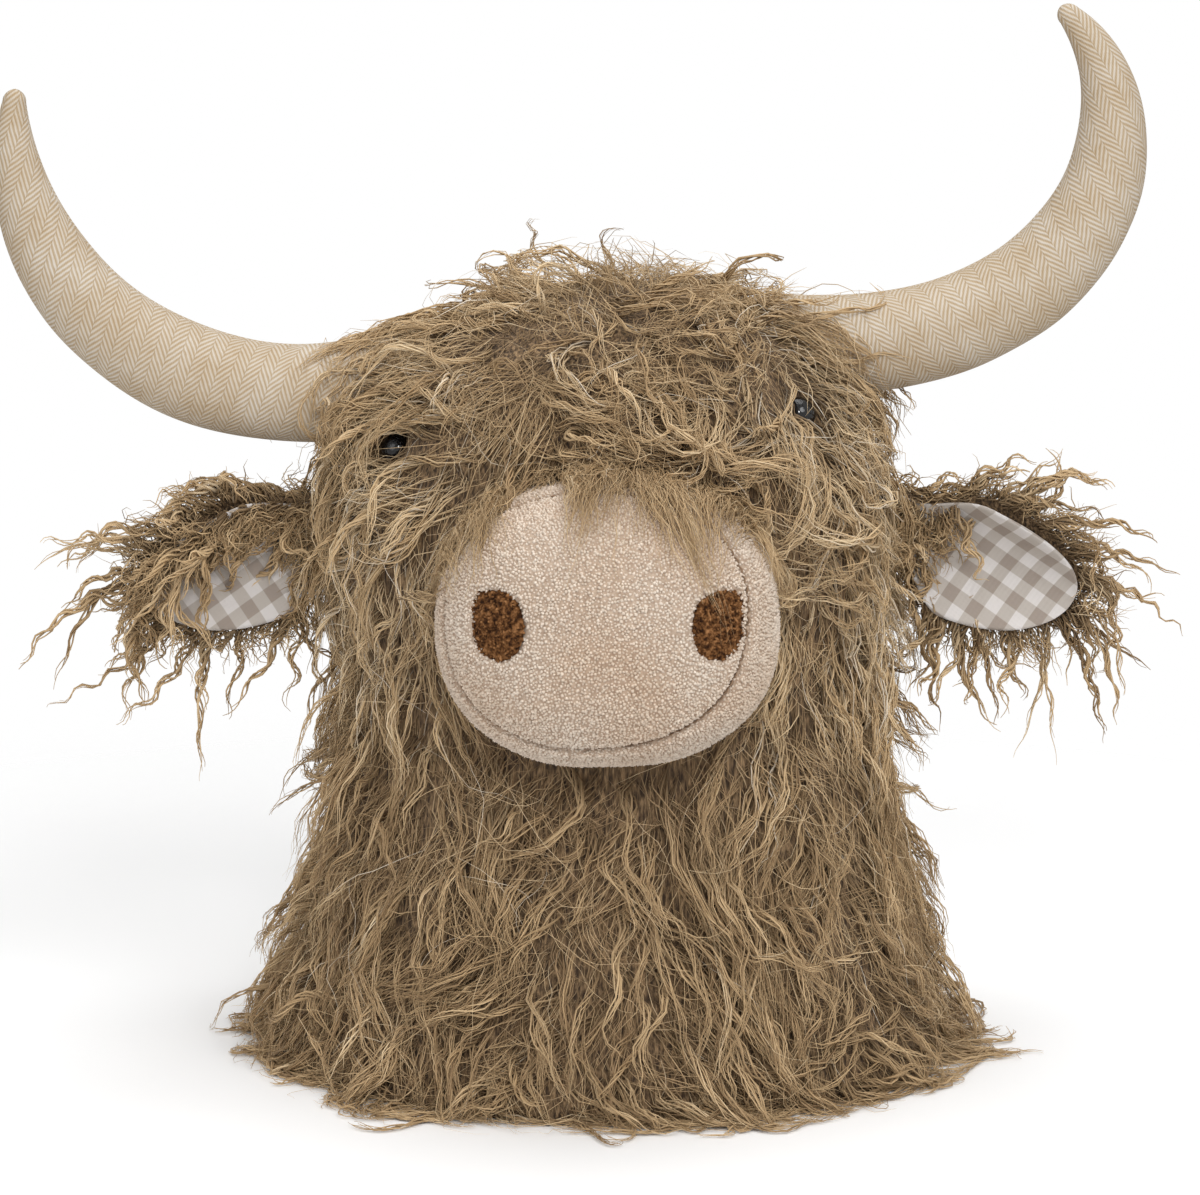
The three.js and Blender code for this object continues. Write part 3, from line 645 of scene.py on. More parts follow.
def per_strand(net, low, high, seed):
    """One random number for each strand, the same all along it."""
    number = net.add("FunctionNodeRandomValue", {"Min": low, "Max": high, "Seed": seed}, data_type="FLOAT")
    return net.add("GeometryNodeFieldOnDomain", {0: number}, domain="CURVE", data_type="FLOAT")


def strand_growth():
    """Guide lines in, and each comes out as a lock of thin tapered strands twisted round it."""
    growth = Growth(
        "strands", Strands="Int", Root="Float", Waist="Float", Tip="Float", Twist="Float",
        Thickness="Float", Frizz="Float", Shortest="Float", Taper="Float", Wall="Float", Floor="Float",
        Seed="Int", Material="Material",
    )
    net, given = growth.net, growth.given
    varied = {name: per_strand(net, *limits) for name, limits in STRAND_VARIES.items()}
    lines = net.add("GeometryNodeMeshToCurve", {"Mesh": given["Geometry"]})
    copies = net.add(
        "GeometryNodeDuplicateElements", {"Geometry": lines, "Amount": given["Strands"]}, domain="SPLINE"
    )
    end = per_strand(net, given["Shortest"], 1.0, given["Seed"])
    strands = net.add("GeometryNodeTrimCurve", {"Curve": copies, "End": end}, mode="FACTOR")
    along = net.add("GeometryNodeSplineParameter")
    tone, size = net.attribute("tone"), net.attribute("size")
    share = copies.also("Duplicate Index") / given["Strands"]
    turn = (share + given["Twist"] * along + tone * STRAND_TONE_TURNS) * TURN
    spread = (
        given["Root"] * (1 - along) ** STRAND_ROOT_FADE * varied["root"]
        + given["Waist"] * (along * STRAND_WAIST_FILL).math("MINIMUM", 1.0) * varied["waist"]
        + given["Tip"] * along ** STRAND_TIP_GROWTH * varied["tip"]
    ) * size
    normal = net.add("GeometryNodeInputNormal")
    side = net.vector("CROSS_PRODUCT", net.add("GeometryNodeInputTangent"), normal)
    apart = net.vector(
        "ADD",
        net.scaled(normal, turn.math("COSINE") * spread),
        net.scaled(side, turn.math("SINE") * spread),
    )
    where = net.add("GeometryNodeInputPosition")
    shifted = net.vector("ADD", where, net.combined(varied["frizz_x"], varied["frizz_y"]))
    noise = net.noise(shifted, FRIZZ_SCALE, 1.0).also("Color")
    frizz = net.scaled(net.vector("SUBTRACT", noise, MIDDLE), given["Frizz"] * along * 2.0)
    free = net.add(
        "ShaderNodeSeparateXYZ", {0: net.vector("ADD", where, net.vector("ADD", apart, frizz))}
    )
    kept = net.combined(
        free, free.also("Y").math("MINIMUM", given["Wall"]), free.also("Z").math("MAXIMUM", given["Floor"])
    )
    moved = net.add("GeometryNodeSetPosition", {"Geometry": strands, "Position": kept})
    stored = net.stored(moved, "shade", tone * STRAND_TONE_SHARE + varied["shade"])
    stored = net.stored(stored, "along", along)
    taper = 1 - given["Taper"] * along ** STRAND_TAPER_GROWTH
    radius = given["Thickness"] * taper * size * varied["thickness"]
    circle = net.add("GeometryNodeCurvePrimitiveCircle", {"Resolution": STRAND_CORNERS, "Radius": 1.0})
    tubes = net.add("GeometryNodeCurveToMesh", {
        "Curve": stored, "Profile Curve": net.stored(circle, "around", along), "Scale": radius,
        "Fill Caps": True,
    })
    width = 1 - 3 * MAP_MARGIN
    across = net.attribute("shade") * width + net.attribute("around") * MAP_MARGIN + MAP_MARGIN
    up = net.attribute("along") * (1 - 2 * MAP_MARGIN) + MAP_MARGIN
    mapped = net.stored(tubes, "OFBake", net.combined(across, up), data_type="FLOAT2", domain="CORNER")
    return growth.end(mapped)


def tuft_growth():
    """A surface in, and out comes its short pile: little blobs that stand on it, where its mask is 1."""
    growth = Growth(
        "tufts", Spacing="Float", Width="Float", Height="Float", Lean="Float", Seed="Int", Material="Material"
    )
    net, given = growth.net, growth.given
    points = net.add(
        "GeometryNodeDistributePointsOnFaces",
        {"Mesh": given["Geometry"], "Distance Min": given["Spacing"], "Density Max": TUFT_DENSITY,
         "Density Factor": net.attribute("pile"), "Seed": given["Seed"]},
        distribute_method="POISSON",
    )
    blob = net.add("GeometryNodeMeshUVSphere", TUFT_BLOB)
    lean = net.add("FunctionNodeRandomValue", data_type="FLOAT_VECTOR")
    tilt = net.scaled(net.vector("SUBTRACT", lean, MIDDLE), given["Lean"])
    turned = net.add(
        "FunctionNodeRotateRotation",
        {"Rotation": points.also("Rotation"), "Rotate By": net.add("FunctionNodeEulerToRotation", {0: tilt})},
        rotation_space="LOCAL",
    )
    vary = net.add("FunctionNodeRandomValue", TUFT_SIZES, data_type="FLOAT")
    size = net.scaled(net.combined(given["Width"], given["Width"], given["Height"]), vary)
    blobs = net.add(
        "GeometryNodeInstanceOnPoints",
        {"Points": points, "Instance": blob, "Rotation": turned, "Scale": size},
    )
    return growth.end(blobs)


STRANDS = strand_growth()
TUFTS = tuft_growth()


# Meshes


def smooth_faces(mesh, smoothly=True):
    mesh.polygons.foreach_set("use_smooth", [smoothly] * len(mesh.polygons))


def piece_from(name, points, faces, smoothly=True):
    mesh = bpy.data.meshes.new(name)
    mesh.from_pydata(np.asarray(points).tolist(), [], faces)
    mesh.validate()
    mesh.update()
    smooth_faces(mesh, smoothly)
    return link(bpy.data.objects.new(name, mesh))


def grid_faces(rows, columns, offset=0, flip=False, wrap=False):
    """Quads of a grid of points, row by row; wrap joins the last column to the first."""
    faces = []
    for i in range(rows - 1):
        for j in range(columns if wrap else columns - 1):
            k = (j + 1) % columns
            quad = [i * columns + j, i * columns + k, (i + 1) * columns + k, (i + 1) * columns + j]
            faces.append([offset + c for c in (reversed(quad) if flip else quad)])
    return faces


def shell(name, outer, inner, wrap=False, rims=(), chart=None):
    """A closed sheet between two grids of points; a wrapped one closes round and has open rims at some rows.

    A chart of the cloth gives both of its faces a map.
    """
    rows, columns = outer.shape[:2]
    count = rows * columns
    faces = grid_faces(rows, columns, wrap=wrap) + grid_faces(rows, columns, count, flip=True, wrap=wrap)
    loops = [[row * columns + j for j in range(columns)] for row in rims]
    if not wrap:
        edge = list(range(columns))
        edge += [i * columns + columns - 1 for i in range(1, rows)]
        edge += [(rows - 1) * columns + j for j in reversed(range(columns - 1))]
        edge += [i * columns for i in reversed(range(1, rows - 1))]
        loops.append(edge)
    for edge in loops:
        faces += [[b, a, a + count, b + count] for a, b in zip(edge, edge[1:] + edge[:1])]
    made = piece_from(name, np.concatenate([outer.reshape(-1, 3), inner.reshape(-1, 3)]), faces)
    if chart is not None:
        layer = made.data.uv_layers.new(name="cloth")
        corner = np.empty(len(made.data.loops), np.int32)
        made.data.loops.foreach_get("vertex_index", corner)
        places = np.concatenate([chart.reshape(-1, 2)] * 2)
        layer.data.foreach_set("uv", places[corner].astype(np.float32).ravel())
    weld(made.data, SHELL_WELD, outwards=True)
    return made


def weld(mesh, distance, outwards=False):
    """Merges points that lie closer than a distance, and may turn every face outwards."""
    work = bmesh.new()
    work.from_mesh(mesh)
    bmesh.ops.remove_doubles(work, verts=work.verts, dist=distance)
    if outwards:
        bmesh.ops.dissolve_degenerate(work, dist=distance / 10, edges=work.edges)
        bmesh.ops.recalc_face_normals(work, faces=work.faces)
    work.to_mesh(mesh)
    work.free()


def copy_of(name, node):
    """A new piece with a CAD node's shape, its triangles joined up."""
    made = link(bpy.data.objects.new(name, frame["nodes"][node].data.copy()))
    made.data.materials.clear()
    weld(made.data, COPY_WELD)
    return made


def subdivided(made, levels):
    """A piece whose faces are halved and rounded a number of times."""
    modifier = made.modifiers.new("smooth", "SUBSURF")
    modifier.levels = levels
    modifier.render_levels = levels
    mesh = evaluated(made)
    made.modifiers.clear()
    made.data = mesh
    smooth_faces(mesh)
    return made


def painted(made, finish):
    made.data.materials.clear()
    made.data.materials.append(finish)


def carried(made, body, slot):
    """A piece that rides on a body; the slot is not used."""
    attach(made, body)
    return made


def dressed(made, finish, body, slot, node):
    """A piece with its material, its body and the node that it stands for; the slot is not used."""
    painted(made, finish)
    carried(made, body, slot)
    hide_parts(node)
    return made


def half_area(made):
    """The area of one face of a sheet."""
    return sum(polygon.area for polygon in made.data.polygons) / 2


# Numbers and places


def unit(vectors):
    return vectors / np.maximum(np.linalg.norm(vectors, axis=-1, keepdims=True), 1e-9)


def smooth(values):
    clipped = np.clip(values, 0, 1)
    return clipped * clipped * (3 - 2 * clipped)


def rising(values, start, over):
    """From 0 at a start to 1, over a length."""
    return smooth((values - start) / over)


def between(low, high, share):
    return low + (high - low) * share


def signed_power(values, exponent):
    return np.sign(values) * np.abs(values) ** exponent


def moved(points, matrix):
    """Points of any grid shape taken through a matrix."""
    turn = np.array(matrix.to_3x3())
    return points @ turn.T + np.array(matrix.translation)


def tilted_place(body):
    """A joint's place, turned as the head leans."""
    return Matrix.Translation(JOINTS[body]["pos_m"]) @ Matrix.Rotation(-HEAD_TILT, 4, "Y")


def round_turn(count):
    """Angles all round, at equal steps."""
    return np.linspace(0, TURN, count, endpoint=False)


def run_length(line):
    """How far each point of a line lies from its start, along it."""
    return np.concatenate([[0], np.cumsum(np.linalg.norm(np.diff(line, axis=0), axis=1))])


def on_line(line, at):
    """Places on a flat line at distances along it."""
    far = run_length(line)
    return np.stack([np.interp(at, far, line[:, k]) for k in (0, 1)], 1)


def waves(points, kind):
    """Smooth noise of about -1 to 1, for points of any grid shape."""
    length, seed = WAVES[kind]
    random = np.random.default_rng(seed)
    turns = unit(random.normal(size=(WAVE_COUNT, 3))) * random.uniform(*WAVE_SPREAD, (WAVE_COUNT, 1))
    phase = random.uniform(0, TURN, WAVE_COUNT)
    heights = np.sin(points.reshape(-1, 3) @ turns.T * (TURN / length) + phase).mean(1) * WAVE_GAIN
    return heights.reshape(points.shape[:-1])


def points_of(mesh):
    points = np.empty(len(mesh.vertices) * 3, np.float32)
    mesh.vertices.foreach_get("co", points)
    return points.reshape(-1, 3).astype(float)


def corners_of(*names):
    """The corners of all the triangles of some CAD nodes."""
    parts = []
    for name in names:
        mesh = frame["nodes"][name].data
        mesh.calc_loop_triangles()
        index = np.empty(len(mesh.loop_triangles) * 3, np.int32)
        mesh.loop_triangles.foreach_get("vertices", index)
        parts.append(points_of(mesh)[index].reshape(-1, 3, 3))
    return np.concatenate(parts)


def spans(corners):
    """The way each triangle faces, as long as twice its area."""
    return np.cross(corners[:, 1] - corners[:, 0], corners[:, 2] - corners[:, 0])


# Surfaces for hair to grow on and lie on


class Surface:
    """Finds the nearest place on some triangles, for many points at once."""

    def __init__(self, corners):
        points = corners.reshape(-1, 3)
        self.tree = BVHTree.FromPolygons(points.tolist(), np.arange(len(points)).reshape(-1, 3).tolist())
        self.low = points.min(0)
        self.high = points.max(0)

    def near(self, points):
        """The nearest places, the ways they face, and how far the points stand out from them."""
        found = [self.tree.find_nearest(point) for point in points.tolist()]
        place = np.array([item[0] for item in found])
        facing = np.array([item[1] for item in found])
        out = ((points - place) * facing).sum(1)
        return place, facing, np.sign(out) * np.linalg.norm(points - place, axis=1)

    def pushed(self, points, clear):
        """The points moved out to a clear distance where they were nearer, which were, and the ways faced."""
        close = ((points > self.low - clear) & (points < self.high + clear)).all(1)
        touched = np.zeros(len(points), bool)
        faced = np.zeros_like(points)
        if not close.any():
            return points, touched, faced
        place, facing, height = self.near(points[close])
        short = height < clear
        where = np.flatnonzero(close)[short]
        points = points.copy()
        points[where] = place[short] + facing[short] * clear
        touched[where] = True
        faced[where] = facing[short]
        return points, touched, faced


STUFFING = Surface(corners_of("head_filling", "neck_filling"))
MUZZLE = Surface(corners_of("muzzle_filling"))
HORNS = [Surface(corners_of(f"horn_{side}_filling")) for side in SIDES]


def outer_faces(panel):
    """The triangles of a fur panel's outer face."""
    corners = corners_of(panel + "_panel")
    middle = corners.mean(1)
    out = middle - STUFFING.near(middle)[0]
    far = np.linalg.norm(out, axis=1) > OUTER_SHARE * PILE
    return corners[far & ((unit(out) * unit(spans(corners))).sum(1) > OUTER_FACING)]


def rear_faces(panel):
    """The triangles of a fur panel's edge that look back at the wall."""
    corners = corners_of(panel + "_panel")
    back = unit(spans(corners))[:, 1] > REAR_FACING
    return corners[back & (corners[:, :, 1].min(1) > WALL - REAR_EDGE)]


OUTER = {panel: outer_faces(panel) for panel in PANEL_TONES_AND_LIGHT}
COAT_FACE = Surface(np.concatenate(list(OUTER.values())))
CROWN = list(PANEL_TONES_AND_LIGHT).index("crown")
LOOP_FOOT = np.array(JOINTS["loop"]["pos_m"])


def eye_place(side):
    """A place just below the top of an eye's dome."""
    washer = np.array(sum(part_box(f"eye_washer_{side}"), Vector()) / 2)
    points = corners_of(f"eye_{side}").reshape(-1, 3)
    top = points[((points - washer) @ (points.mean(0) - washer)).argmax()]
    return top - unit(top - washer) * EYE_TOP


EYES = [(eye_place(side), unit(EYE_SIGHT * (sign, 1, 1))) for side, sign in SIDES.items()]


def eye_distance(points):
    """How far points lie from the nearest eye."""
    return np.min([np.linalg.norm(points - eye, axis=1) for eye, _ in EYES], axis=0)


def beside_sight(points, eye, sight):
    """The shortest ways from the line of sight to an eye to points of any grid shape."""
    ahead = np.clip((points - eye) @ sight, 0, EYE_VIEW)[..., None]
    return points - eye - ahead * sight


def scattered(corners, spacing, random):
    """Places on triangles, no two nearer than the spacing."""
    area = np.linalg.norm(spans(corners), axis=1) / 2
    count = int(SCATTER_TRIES * area.sum() / spacing**2)
    pick = corners[random.choice(len(area), count, p=area / area.sum())]
    a = np.sqrt(random.random((count, 1)))
    b = random.random((count, 1))
    points = (1 - a) * pick[:, 0] + a * (1 - b) * pick[:, 1] + a * b * pick[:, 2]
    cells = {}
    kept = []
    for point in points:
        cell = tuple((point // spacing).astype(int))
        around = [
            other
            for i in (-1, 0, 1)
            for j in (-1, 0, 1)
            for k in (-1, 0, 1)
            for other in cells.get((cell[0] + i, cell[1] + j, cell[2] + k), ())
        ]
        if all(((point - other) ** 2).sum() > spacing**2 for other in around):
            cells.setdefault(cell, []).append(point)
            kept.append(point)
    return np.array(kept)


# Fur


def fur_material():
    """Hair with a tone of its own, darkened towards its root with painted shade."""

    def build(net):
        shade, along = net.cloth_map("OFBake")
        colour = net.shades(
            shade,
            (0.0, (134, 108, 77)),
            (0.35, (176, 148, 110)),
            (0.65, (201, 173, 133)),
            (0.88, (219, 196, 160)),
            (1.0, (220, 211, 197)),
        )
        # Painted shade: the hair's colour is darkened at its root and comes back to full by about its middle
        deep = net.ramp((along * FUR_SHADE_FADE).math("MINIMUM", 1.0), (0.0, FUR_ROOT_SHADE), (1.0, WHITE))
        return {
            "Base Color": net.mix(1.0, colour, deep, "MULTIPLY"),
            "Roughness": 0.62,
            "Specular IOR Level": 0.35,
        }

    return material("long_fur", build)


HAIR = fur_material()
# The backing cloth, coloured darker than the hair as painted shade in the gaps between the locks
BACKING_AND_SHADE = flecked(
    "fur_backing", 900.0, 3.0, ((0.36, (58, 44, 31)), (0.52, (112, 90, 65)), (0.68, (160, 132, 98))), 0.95,
    stretch=(1.0, 1.0, 0.18), bump=2 * MM,
)


def body_comb(points, facing, stray):
    """The way the coat is brushed: out from the crown, then down, and out again at the foot."""
    out = points - CROWN_CENTRE
    out[:, 2] = 0
    out = unit(out)
    top = np.clip(facing[:, 2:], 0, 1)
    foot = np.clip(1 - points[:, 2:] / FOOT_FLARE_HEIGHT, 0, 1)
    foot = foot * (FOOT_UNEVEN + FOOT_UNEVEN * waves(points, "foot")[:, None])
    way = DOWN * (1 - top**2) + out * (top + FOOT_FLARE * foot)
    way = unit(way - facing * (way * facing).sum(1, keepdims=True))
    wild = SWIRL + SWIRL_HEAD_MORE * rising(points[:, 2], *SWIRL_HEAD)
    swirl = wild * waves(points, "swirl") + SWIRL_RIPPLE * wild * waves(points, "ripple")
    angle = np.radians(swirl + stray)[:, None]
    return way * np.cos(angle) + np.cross(facing, way) * np.sin(angle)


def horn_hold(points):
    """How strongly the horns lead the hair near their roots along, and which way."""
    hold = np.zeros((len(points), 1))
    way = np.zeros_like(points)
    for horn, (side, sign) in zip(HORNS, SIDES.items()):
        close = np.flatnonzero(((points > horn.low - HORN_PULL) & (points < horn.high + HORN_PULL)).all(1))
        if len(close):
            height = horn.near(points[close])[2]
            out = sign * (points[close, 0] - JOINTS[f"horn_{side}"]["pos_m"][0])
            share = (1 - smooth(height / HORN_PULL)) * (1 - smooth(out / HORN_HOLD_LENGTH))
            hold[close, 0] = HORN_HOLD * share
            way[close] = unit(np.array((sign, -HORN_LEAN, -HORN_SAG)))
    return hold, way


def parted(points):
    """The points moved aside where they would hide an eye."""
    points = points.copy()
    for eye, sight in EYES:
        away = beside_sight(points, eye, sight)
        near = np.linalg.norm(away, axis=-1) < EYE_CLEAR
        points[near] = (points - away)[near] + unit(away[near]) * EYE_CLEAR
    return points


def points_near_sight(paths, reach):
    """How many points of each line lie nearer than the reach to a line of sight to an eye."""
    near = np.zeros(paths.shape[:2], bool)
    for eye, sight in EYES:
        near |= np.linalg.norm(beside_sight(paths, eye, sight), axis=-1) < reach
    return near.sum(1)


def near_loop(points, room):
    """Which points lie in a room round the hanging loop's foot."""
    away = points - LOOP_FOOT
    return (np.abs(away[:, 0]) < room[0]) & (away[:, 1] > -room[1]) & (away[:, 2] > -room[2])


def clear_of_loop(points):
    """The points moved to the front of the hanging loop where they would run through it."""
    points = points.copy()
    points[near_loop(points, LOOP_ROOM), 1] = LOOP_FOOT[1] - LOOP_ROOM[1]
    return points


def grow(roots, coat, length, lift, stray, curl, fringe):
    """Guide lines from roots, and the share of each that lies before it has covered the muzzle enough."""
    step = (length / (coat.points - 1))[:, None]
    point = roots
    facing = COAT_FACE.near(point)[1]
    way = unit(facing * ROOT_RISE + body_comb(point, facing, stray))
    path = [point]
    over = np.zeros(len(roots))
    clear_steps = np.zeros(len(roots))
    touched = np.zeros(len(roots), bool)
    faced = np.zeros_like(roots)
    for i in range(1, coat.points):
        along = i / (coat.points - 1)
        facing, height = COAT_FACE.near(point)[1:]
        aim = -ROOT_DEPTH + (ROOT_DEPTH + lift) * smooth(along / RISE_SHARE)
        rise = np.clip((aim - height)[:, None] / step * RISE_PACE, *RISE_LIMITS)
        brushed = body_comb(point, facing, stray + curl * (along - CURL_START)) + facing * rise
        hold, outward = horn_hold(point)
        brushed = between(brushed, outward, hold)
        fall = FRINGE_FALL + FRINGE_COMB * brushed
        fall = unit(fall - faced * (fall * faced).sum(1, keepdims=True))
        way = unit(way * STIFFNESS + (1 - STIFFNESS) * np.where(touched[:, None], fall, brushed))
        point, touched, faced = MUZZLE.pushed(point + way * step, MUZZLE_CLOTH + MUZZLE_HAIR_GAP)
        over += touched * step[:, 0]
        clear_steps += over <= fringe
        for horn in HORNS:
            point = horn.pushed(point, HORN_CLOTH + HORN_HAIR_GAP)[0]
        point = clear_of_loop(parted(point))
        point[:, 2] = np.maximum(point[:, 2], FLOOR_CLEAR)
        point[:, 1] = np.minimum(point[:, 1], WALL - WALL_CLEAR)
        way = unit(point - path[-1])
        path.append(point)
    return np.stack(path, 1), np.maximum(clear_steps / (coat.points - 1), LEAST_SHARE)


def crimped(paths, coat, random):
    """The lines with a lock's waves, which start at the root and grow towards the tip."""
    count, points = paths.shape[:2]
    along = np.linspace(0, 1, points)
    forward = unit(np.gradient(paths, axis=1))
    side = unit(np.cross(forward, random.normal(size=(count, 1, 3))))
    other = np.cross(forward, side)
    length = np.linalg.norm(np.diff(paths, axis=1), axis=2).sum(1)[:, None]
    turn = random.uniform(0, TURN, (count, 1))
    turn = turn + TURN * along * length / (coat.wave * random.uniform(*CRIMP_LENGTHS, (count, 1)))
    swing = coat.crimp * random.uniform(*CRIMP_SWINGS, (count, 1)) * smooth(along * CRIMP_START)
    sideways = side * (np.sin(turn) * swing)[..., None]
    made = paths + sideways + other * (np.cos(turn) * swing * CRIMP_FLAT)[..., None]
    made[..., 2] = np.maximum(made[..., 2], FLOOR_CLEAR)
    return made


def clumped(paths, roots, random):
    """The lines drawn together towards their tips, each to the nearest of a few leaders."""
    order = random.permutation(len(roots))
    leaders = []
    for number in order:
        if all(((roots[number] - roots[other]) ** 2).sum() > CLUMP_SPACING**2 for other in leaders):
            leaders.append(number)
    apart = np.linalg.norm(roots[:, None, :] - roots[leaders][None, :, :], axis=2)
    leader = np.array(leaders)[apart.argmin(1)]
    along = np.linspace(0, 1, paths.shape[1])[None, :, None]
    pull = random.uniform(*CLUMP_PULL, (len(roots), 1, 1)) * smooth(along * CLUMP_START)
    drawn = between(paths, paths[leader], pull)
    drawn[:, 1:-1] = (drawn[:, :-2] + 2 * drawn[:, 1:-1] + drawn[:, 2:]) / 4
    return drawn


def guide_mesh(name, paths, tone, size):
    """Guide lines as a mesh of edges, with each lock's tone and size on its points."""
    count, points = paths.shape[:2]
    first = np.arange(count * points).reshape(count, points)
    edges = np.stack([first[:, :-1], first[:, 1:]], -1).reshape(-1, 2)
    mesh = bpy.data.meshes.new(name + "_lines")
    mesh.from_pydata(paths.reshape(-1, 3).tolist(), edges.tolist(), [])
    for label, values in (("tone", tone), ("size", size)):
        layer = mesh.attributes.new(label, "FLOAT", "POINT")
        layer.data.foreach_set("value", np.repeat(values, points).astype(np.float32))
    return mesh


def add_hair(name, coat, paths, tone, size, body="body"):
    """Guide lines grown into a piece of fur that rides on a body."""
    made = STRANDS.run(
        name, guide_mesh(name, paths, tone, size), coat, Taper=STRAND_TAPER, Wall=WALL - WALL_CLEAR,
        Floor=FLOOR_CLEAR, Seed=FUR_SEED, Material=HAIR,
    )
    carried(made, body, "fur")


def body_roots(coat, random):
    """Where a coat is rooted all over the bust, and the number of the panel that each root belongs to."""
    roots, owner = [], []
    for number, (panel, faces) in enumerate(OUTER.items()):
        for area, spacing in ((faces, coat.spacing), (rear_faces(panel), coat.spacing * REAR_SPACING)):
            if len(area):
                roots.append(scattered(area, spacing, random))
                owner.append(np.full(len(roots[-1]), number))
    for side in SIDES:
        found = scattered(corners_of(f"horn_{side}_filling"), coat.spacing * COLLAR_SPACING, random)
        height = COAT_FACE.near(found)[2]
        roots.append(found[(height > COLLAR_DEPTH[0]) & (height < COLLAR_DEPTH[1])])
        owner.append(np.full(len(roots[-1]), CROWN))
    return np.concatenate(roots), np.concatenate(owner)


def loose_roots(coat, random):
    """Roots of the locks that stand off: on the crown, at the foot and at the cheeks' sides."""
    roots, owner = body_roots(coat, random)
    facing = COAT_FACE.near(roots)[1]
    cheek = (roots[:, 2] > SPRIG_CHEEK[0]) & (roots[:, 2] < SPRIG_CHEEK[1])
    cheek = cheek & (np.abs(facing[:, 0]) > SPRIG_CHEEK_SIDE)
    kept = (facing[:, 2] > SPRIG_SLOPE) | (roots[:, 2] < SPRIG_FOOT) | cheek
    return roots[kept], owner[kept]


def loop_roots(coat, random):
    """Roots on the stuffing round the foot of the hanging loop, beside its tape."""
    roots = scattered(corners_of("head_filling"), coat.spacing, random)
    away = np.abs(roots - LOOP_FOOT)
    under = (away[:, 0] < LOOP_WIDTH / 2 + LOOP_FUZZ_GAP) & (away[:, 1] < LOOP_TAPE)
    roots = roots[near_loop(roots, LOOP_FUZZ_ROOM) & ~under]
    return roots, np.full(len(roots), CROWN)


def add_coat(name, coat, seed, roots_of):
    """One coat over the bust, or over a part of it, as one piece for each panel."""
    random = np.random.default_rng(seed)
    roots, owner = roots_of(coat, random)
    open_eye = eye_distance(roots) > EYE_CLEAR
    roots, owner = roots[open_eye], owner[open_eye]
    count = len(roots)
    facing, height = COAT_FACE.near(roots)[1:]
    head = rising(roots[:, 2], HEAD_START, HEAD_FULL - HEAD_START)
    length = random.uniform(*coat.length, count) * between(1, HEAD_LENGTH, head)
    length = length * (1 + RAGGED * waves(roots, "ragged"))
    lift = between(*coat.lift, random.random(count) ** LIFT_BIAS + COAT_LUMPS * waves(roots, "lumps"))
    stray = random.normal(0, coat.stray, count) * between(1, HEAD_STRAY, head)
    curl = random.normal(0, coat.curl, count) * between(1, HEAD_CURL, head)
    fringe = between(*FRINGE, random.random(count) ** FRINGE_BIAS)
    deep = roots - facing * np.clip(ROOT_DEPTH + height, 0, ROOT_DEPTH)[:, None]
    share = grow(deep, coat, length, lift, stray, curl, fringe)[1]
    paths = grow(deep, coat, length * share, lift, stray, curl, fringe)[0]
    if coat in (LOCKS, UNDERFUR):
        paths = clumped(paths, roots, random)
    paths = crimped(paths, coat, random)
    clear = points_near_sight(paths, EYE_CLEAR + EYE_SLACK) <= (EYE_TOUCH if coat == LOCKS else 0)
    paths = parted(paths)
    midway = (paths[:, 1:] + paths[:, :-1]) / 2
    clear &= points_near_sight(midway, EYE_CLEAR - EYE_SLACK) == 0
    paths, roots, owner = paths[clear], roots[clear], owner[clear]
    count = len(paths)
    tone = np.array(list(PANEL_TONES_AND_LIGHT.values()))[owner] + TONE_DRIFT * waves(roots, "tone")
    tone = tone + random.normal(0, TONE_SPREAD, count)
    tone = np.clip(tone + (FLYAWAY_PALE if coat == FLYAWAYS else 0), 0, 1)
    size = random.uniform(*HAIR_SIZES, count)
    for number, panel in enumerate(PANEL_TONES_AND_LIGHT):
        mine = owner == number
        if mine.any():
            add_hair(f"{panel}_{name}", coat, paths[mine], tone[mine], size[mine])


def add_backing(panel):
    """The cloth that a panel's hair is rooted in: its solid, with the outer face drawn in, coloured dark as
    painted shade between the locks.
    """
    made = copy_of(f"{panel}_backing", panel + "_panel")
    points = points_of(made.data)
    facing, height = COAT_FACE.near(points)[1:]
    share = np.clip(1 + height / PILE, 0, 1)[:, None]
    near, far = EYE_DIMPLE_REACH
    depth = BACKING_DEPTH + EYE_DIMPLE * (1 - rising(eye_distance(points), near, far - near))
    points = points - facing * depth[:, None] * share
    points[:, 2] = np.maximum(points[:, 2], 0)
    made.data.vertices.foreach_set("co", points.astype(np.float32).ravel())
    made.data.update()
    dressed(made, BACKING_AND_SHADE, "body", "fur", panel + "_panel")


def add_fur():
    for panel in PANEL_TONES_AND_LIGHT:
        add_backing(panel)
    coats = (
        ("locks", LOCKS, body_roots),
        ("underfur", UNDERFUR, body_roots),
        ("flyaways", FLYAWAYS, body_roots),
        ("sprigs", SPRIGS, loose_roots),
        ("loop_fuzz", LOOP_FUZZ, loop_roots),
    )
    for number, (name, coat, roots_of) in enumerate(coats):
        add_coat(name, coat, FUR_SEED + number, roots_of)


# Sewing


def stitch_lines(places, ways, facing, length):
    """Short arched lines for stitches, at places, along ways, standing on a face."""
    offsets = np.linspace(-0.5, 0.5, THREAD.points)
    arch = STITCH.rise * (1 - (2 * offsets) ** 2) - STITCH.rise / 2
    lines = places[:, None, :] + ways[:, None, :] * (offsets * length)[None, :, None]
    return lines + facing[:, None, :] * arch[None, :, None]


def add_stitches(name, lines, finish, body, slot):
    count = len(lines)
    made = STRANDS.run(
        name, guide_mesh(name, lines, np.full(count, 0.5), np.ones(count)), THREAD, Taper=STITCH.taper,
        Wall=WALL + STITCH.rise, Floor=0.0, Seed=FUR_SEED, Material=finish,
    )
    return carried(made, body, slot)


# Muzzle


